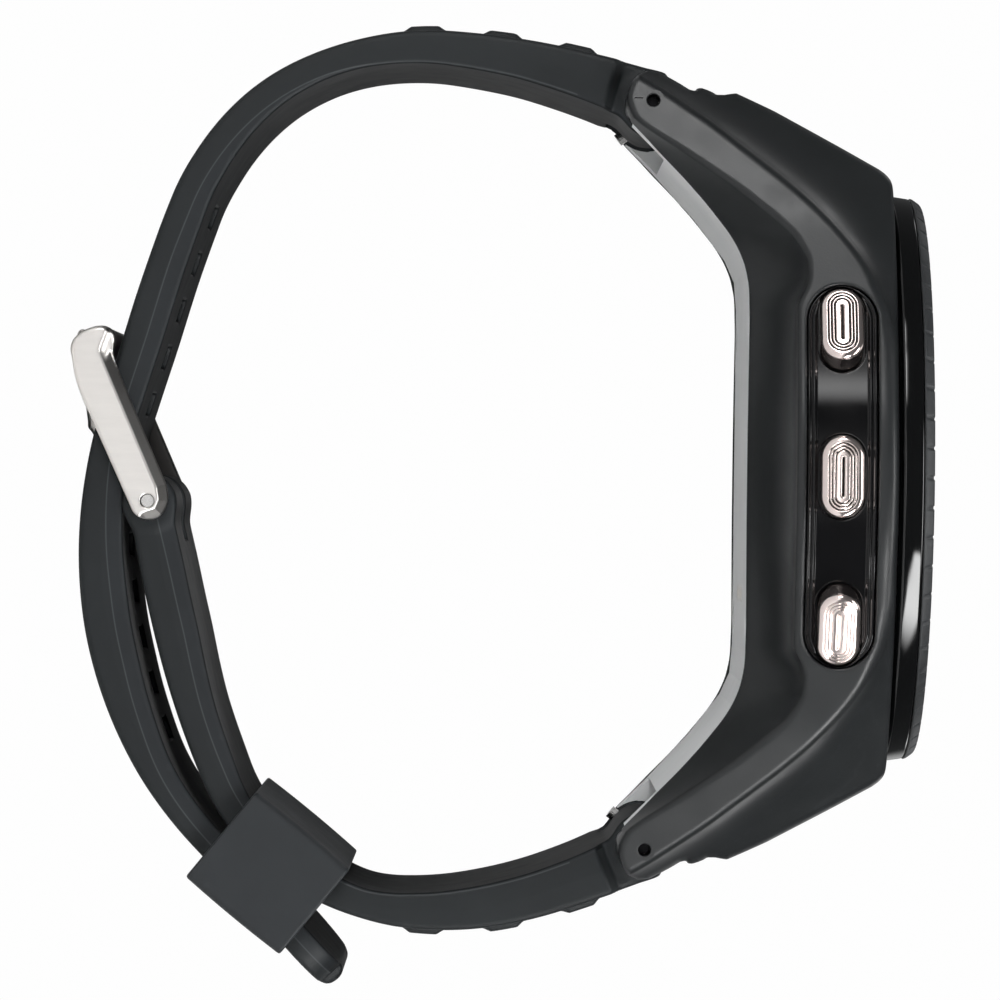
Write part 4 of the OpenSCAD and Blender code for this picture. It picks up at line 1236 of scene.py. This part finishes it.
def make_floor():
    """Disc of concentric rings just below the watch."""
    floor_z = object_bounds()[0].z - 0.0003
    radii, count = [0.1, 0.25, 0.6, 1.5, 4.0], 48
    verts = [(0, 0, floor_z)]
    for r in radii:
        verts += [(r * math.cos(i * math.pi / 24), r * math.sin(i * math.pi / 24), floor_z)
                  for i in range(count)]
    faces = [(0, 1 + i, 1 + (i + 1) % count) for i in range(count)]
    for k in range(len(radii) - 1):
        for i in range(count):
            a, b = 1 + count * k + i, 1 + count * k + (i + 1) % count
            faces.append((a, a + count, b + count, b))
    mesh = bpy.data.meshes.new("studio_floor")
    mesh.from_pydata(verts, [], faces)
    floor = link_object("studio_floor", mesh)
    mesh.materials.append(floor_material())
    floor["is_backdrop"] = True


def make_world():
    """White backdrop for the camera; dim light, stronger from +X, for everything else."""
    world = bpy.data.worlds.new("studio")
    bpy.context.scene.world = world
    world.use_nodes = True
    graph = Graph(world.node_tree)
    graph.tree.nodes.clear()
    output = graph.new("ShaderNodeOutputWorld")
    light_path = graph.new("ShaderNodeLightPath")
    x = graph.split(graph.new("ShaderNodeTexCoord").outputs["Generated"])[0]
    strength = graph.new("ShaderNodeMapRange")
    limits = {"From Min": -0.7, "From Max": 0.9, "To Min": 0.06, "To Max": 0.11}
    for key, value in limits.items():
        strength.inputs[key].default_value = value
    graph.link(x, strength.inputs["Value"])

    def background(color, strength):
        node = graph.new("ShaderNodeBackground")
        graph.feed(node.inputs[0], color)
        graph.feed(node.inputs[1], strength)
        return node.outputs[0]

    ambient = background((0.96, 0.98, 1.0), strength.outputs[0])
    backdrop = background((0.99, 0.99, 0.99), 1.0)
    mixed = graph.mix_shader(light_path.outputs["Is Camera Ray"], ambient, backdrop)
    graph.link(mixed, output.inputs[0])


def place_axes(obj, right, up, back, place):
    matrix = Matrix((right, up, back)).transposed().to_4x4()
    matrix.translation = place
    obj.matrix_world = matrix


LIGHT_TARGET = Vector((0, 0, -0.018))
# Name, direction from the target, distance, (width, height), radiance, then across the width
# and across the height the shares between which the light is at full strength
SOFTBOXES = [
    ("button_top", (0.51, -0.86, 0.02), 0.9, (0.42, 0.26), 7.5, (0.4, 0.6), (0.4, 0.6)),
    ("key_top", (0.74, -0.67, -0.05), 0.9, (0.60, 0.46), 10.5, (0.35, 0.65), (0.3, 0.7)),
    ("front_fill", (1.0, -0.02, -0.13), 1.2, (0.62, 1.0), 4.6, (0.45, 0.55), (0.42, 0.58)),
    ("plate_fill", (0.80, -0.20, -0.62), 1.1, (0.50, 0.9), 13.0, (0.45, 0.55), (0.35, 0.65)),
    ("low_fill", (0.73, 0.67, -0.10), 0.9, (0.42, 0.32), 0.10, (0.4, 0.6), (0.4, 0.6)),
    ("strip_low", (0.560, 0.760, 0.370), 0.9, (0.27, 0.72), 15.0, (0.2, 0.8), (0.50, 0.93)),
    ("ridge_top", (-0.70, -0.55, 0.50), 0.9, (0.30, 0.26), 2.5, (0.45, 0.55), (0.45, 0.55)),
    ("ridge_low", (-0.80, 0.48, 0.40), 0.9, (0.30, 0.26), 3.0, (0.45, 0.55), (0.45, 0.55)),
    ("shoulder_line", (0.45, 0.10, 0.88), 0.9, (0.24, 0.80), 12.0, (0.4, 0.6), (0.3, 0.7)),
    ("under_plate", (0.10, 0.0, -1.0), 1.0, (0.7, 0.9), 6.0, (0.35, 0.65), (0.35, 0.65)),
    ("under_back", (-0.62, 0.0, -0.78), 1.0, (0.5, 1.1), 3.2, (0.4, 0.6), (0.3, 0.7)),
    ("back_fill", (-1.0, 0.3, 0.1), 1.1, (0.8, 0.6), 0.45, (0.4, 0.6), (0.4, 0.6)),
    ("over_head", (-0.12, 0.0, 1.0), 1.1, (0.6, 0.6), 1.1, (0.4, 0.6), (0.4, 0.6)),
]


def add_softbox(name, direction, distance, size, radiance, *full_spans):
    """Rectangular light facing the target, fading towards its edges."""
    light = bpy.data.lights.new(name, "AREA")
    light.shape = "RECTANGLE"
    light.size, light.size_y = size
    light.energy = radiance * math.pi * size[0] * size[1]
    light.use_nodes = True
    graph = Graph(light.node_tree)
    emission = next(n for n in graph.tree.nodes if n.type == "EMISSION")
    across = graph.split(graph.new("ShaderNodeNewGeometry").outputs["Parametric"])
    product = graph.new("ShaderNodeMath", operation="MULTIPLY")
    for k, (start, end) in enumerate(full_spans):
        stops = [(0.0, 0), (start, 1), (end, 1), (1.0, 0)]
        graph.link(graph.ramp(across[k], stops, "EASE"), product.inputs[k])
    graph.link(product.outputs[0], emission.inputs["Strength"])
    obj = link_object(name, light)
    back = Vector(direction).normalized()
    right = Vector((0, -1, 0)).cross(back).normalized()
    place_axes(obj, right, back.cross(right), back, LIGHT_TARGET + back * distance)
    obj.visible_camera = False


def make_camera():
    """Long lens on the +X side; the top of its view is towards -Y."""
    data = bpy.data.cameras.new("photo_camera")
    data.sensor_width = 36.0
    data.lens = 202.7
    data.clip_start, data.clip_end = 0.01, 20
    camera = link_object("photo_camera", data)
    place_axes(camera, right=Vector((0, -0.01205, 0.99993)), up=Vector((0, -0.99993, -0.01205)),
               back=Vector((1, 0, 0)), place=Vector((0.460, 0.002120, -0.019663)))
    bpy.context.scene.camera = camera


for make in (make_case, make_panel, make_buttons, make_head, make_strap_long, make_strap_short,
             make_keeper, make_hoop, make_prong, finish_cad, make_floor, make_world):
    make()
for softbox in SOFTBOXES:
    add_softbox(*softbox)
make_camera()
bpy.context.scene.view_settings.view_transform = "Standard"
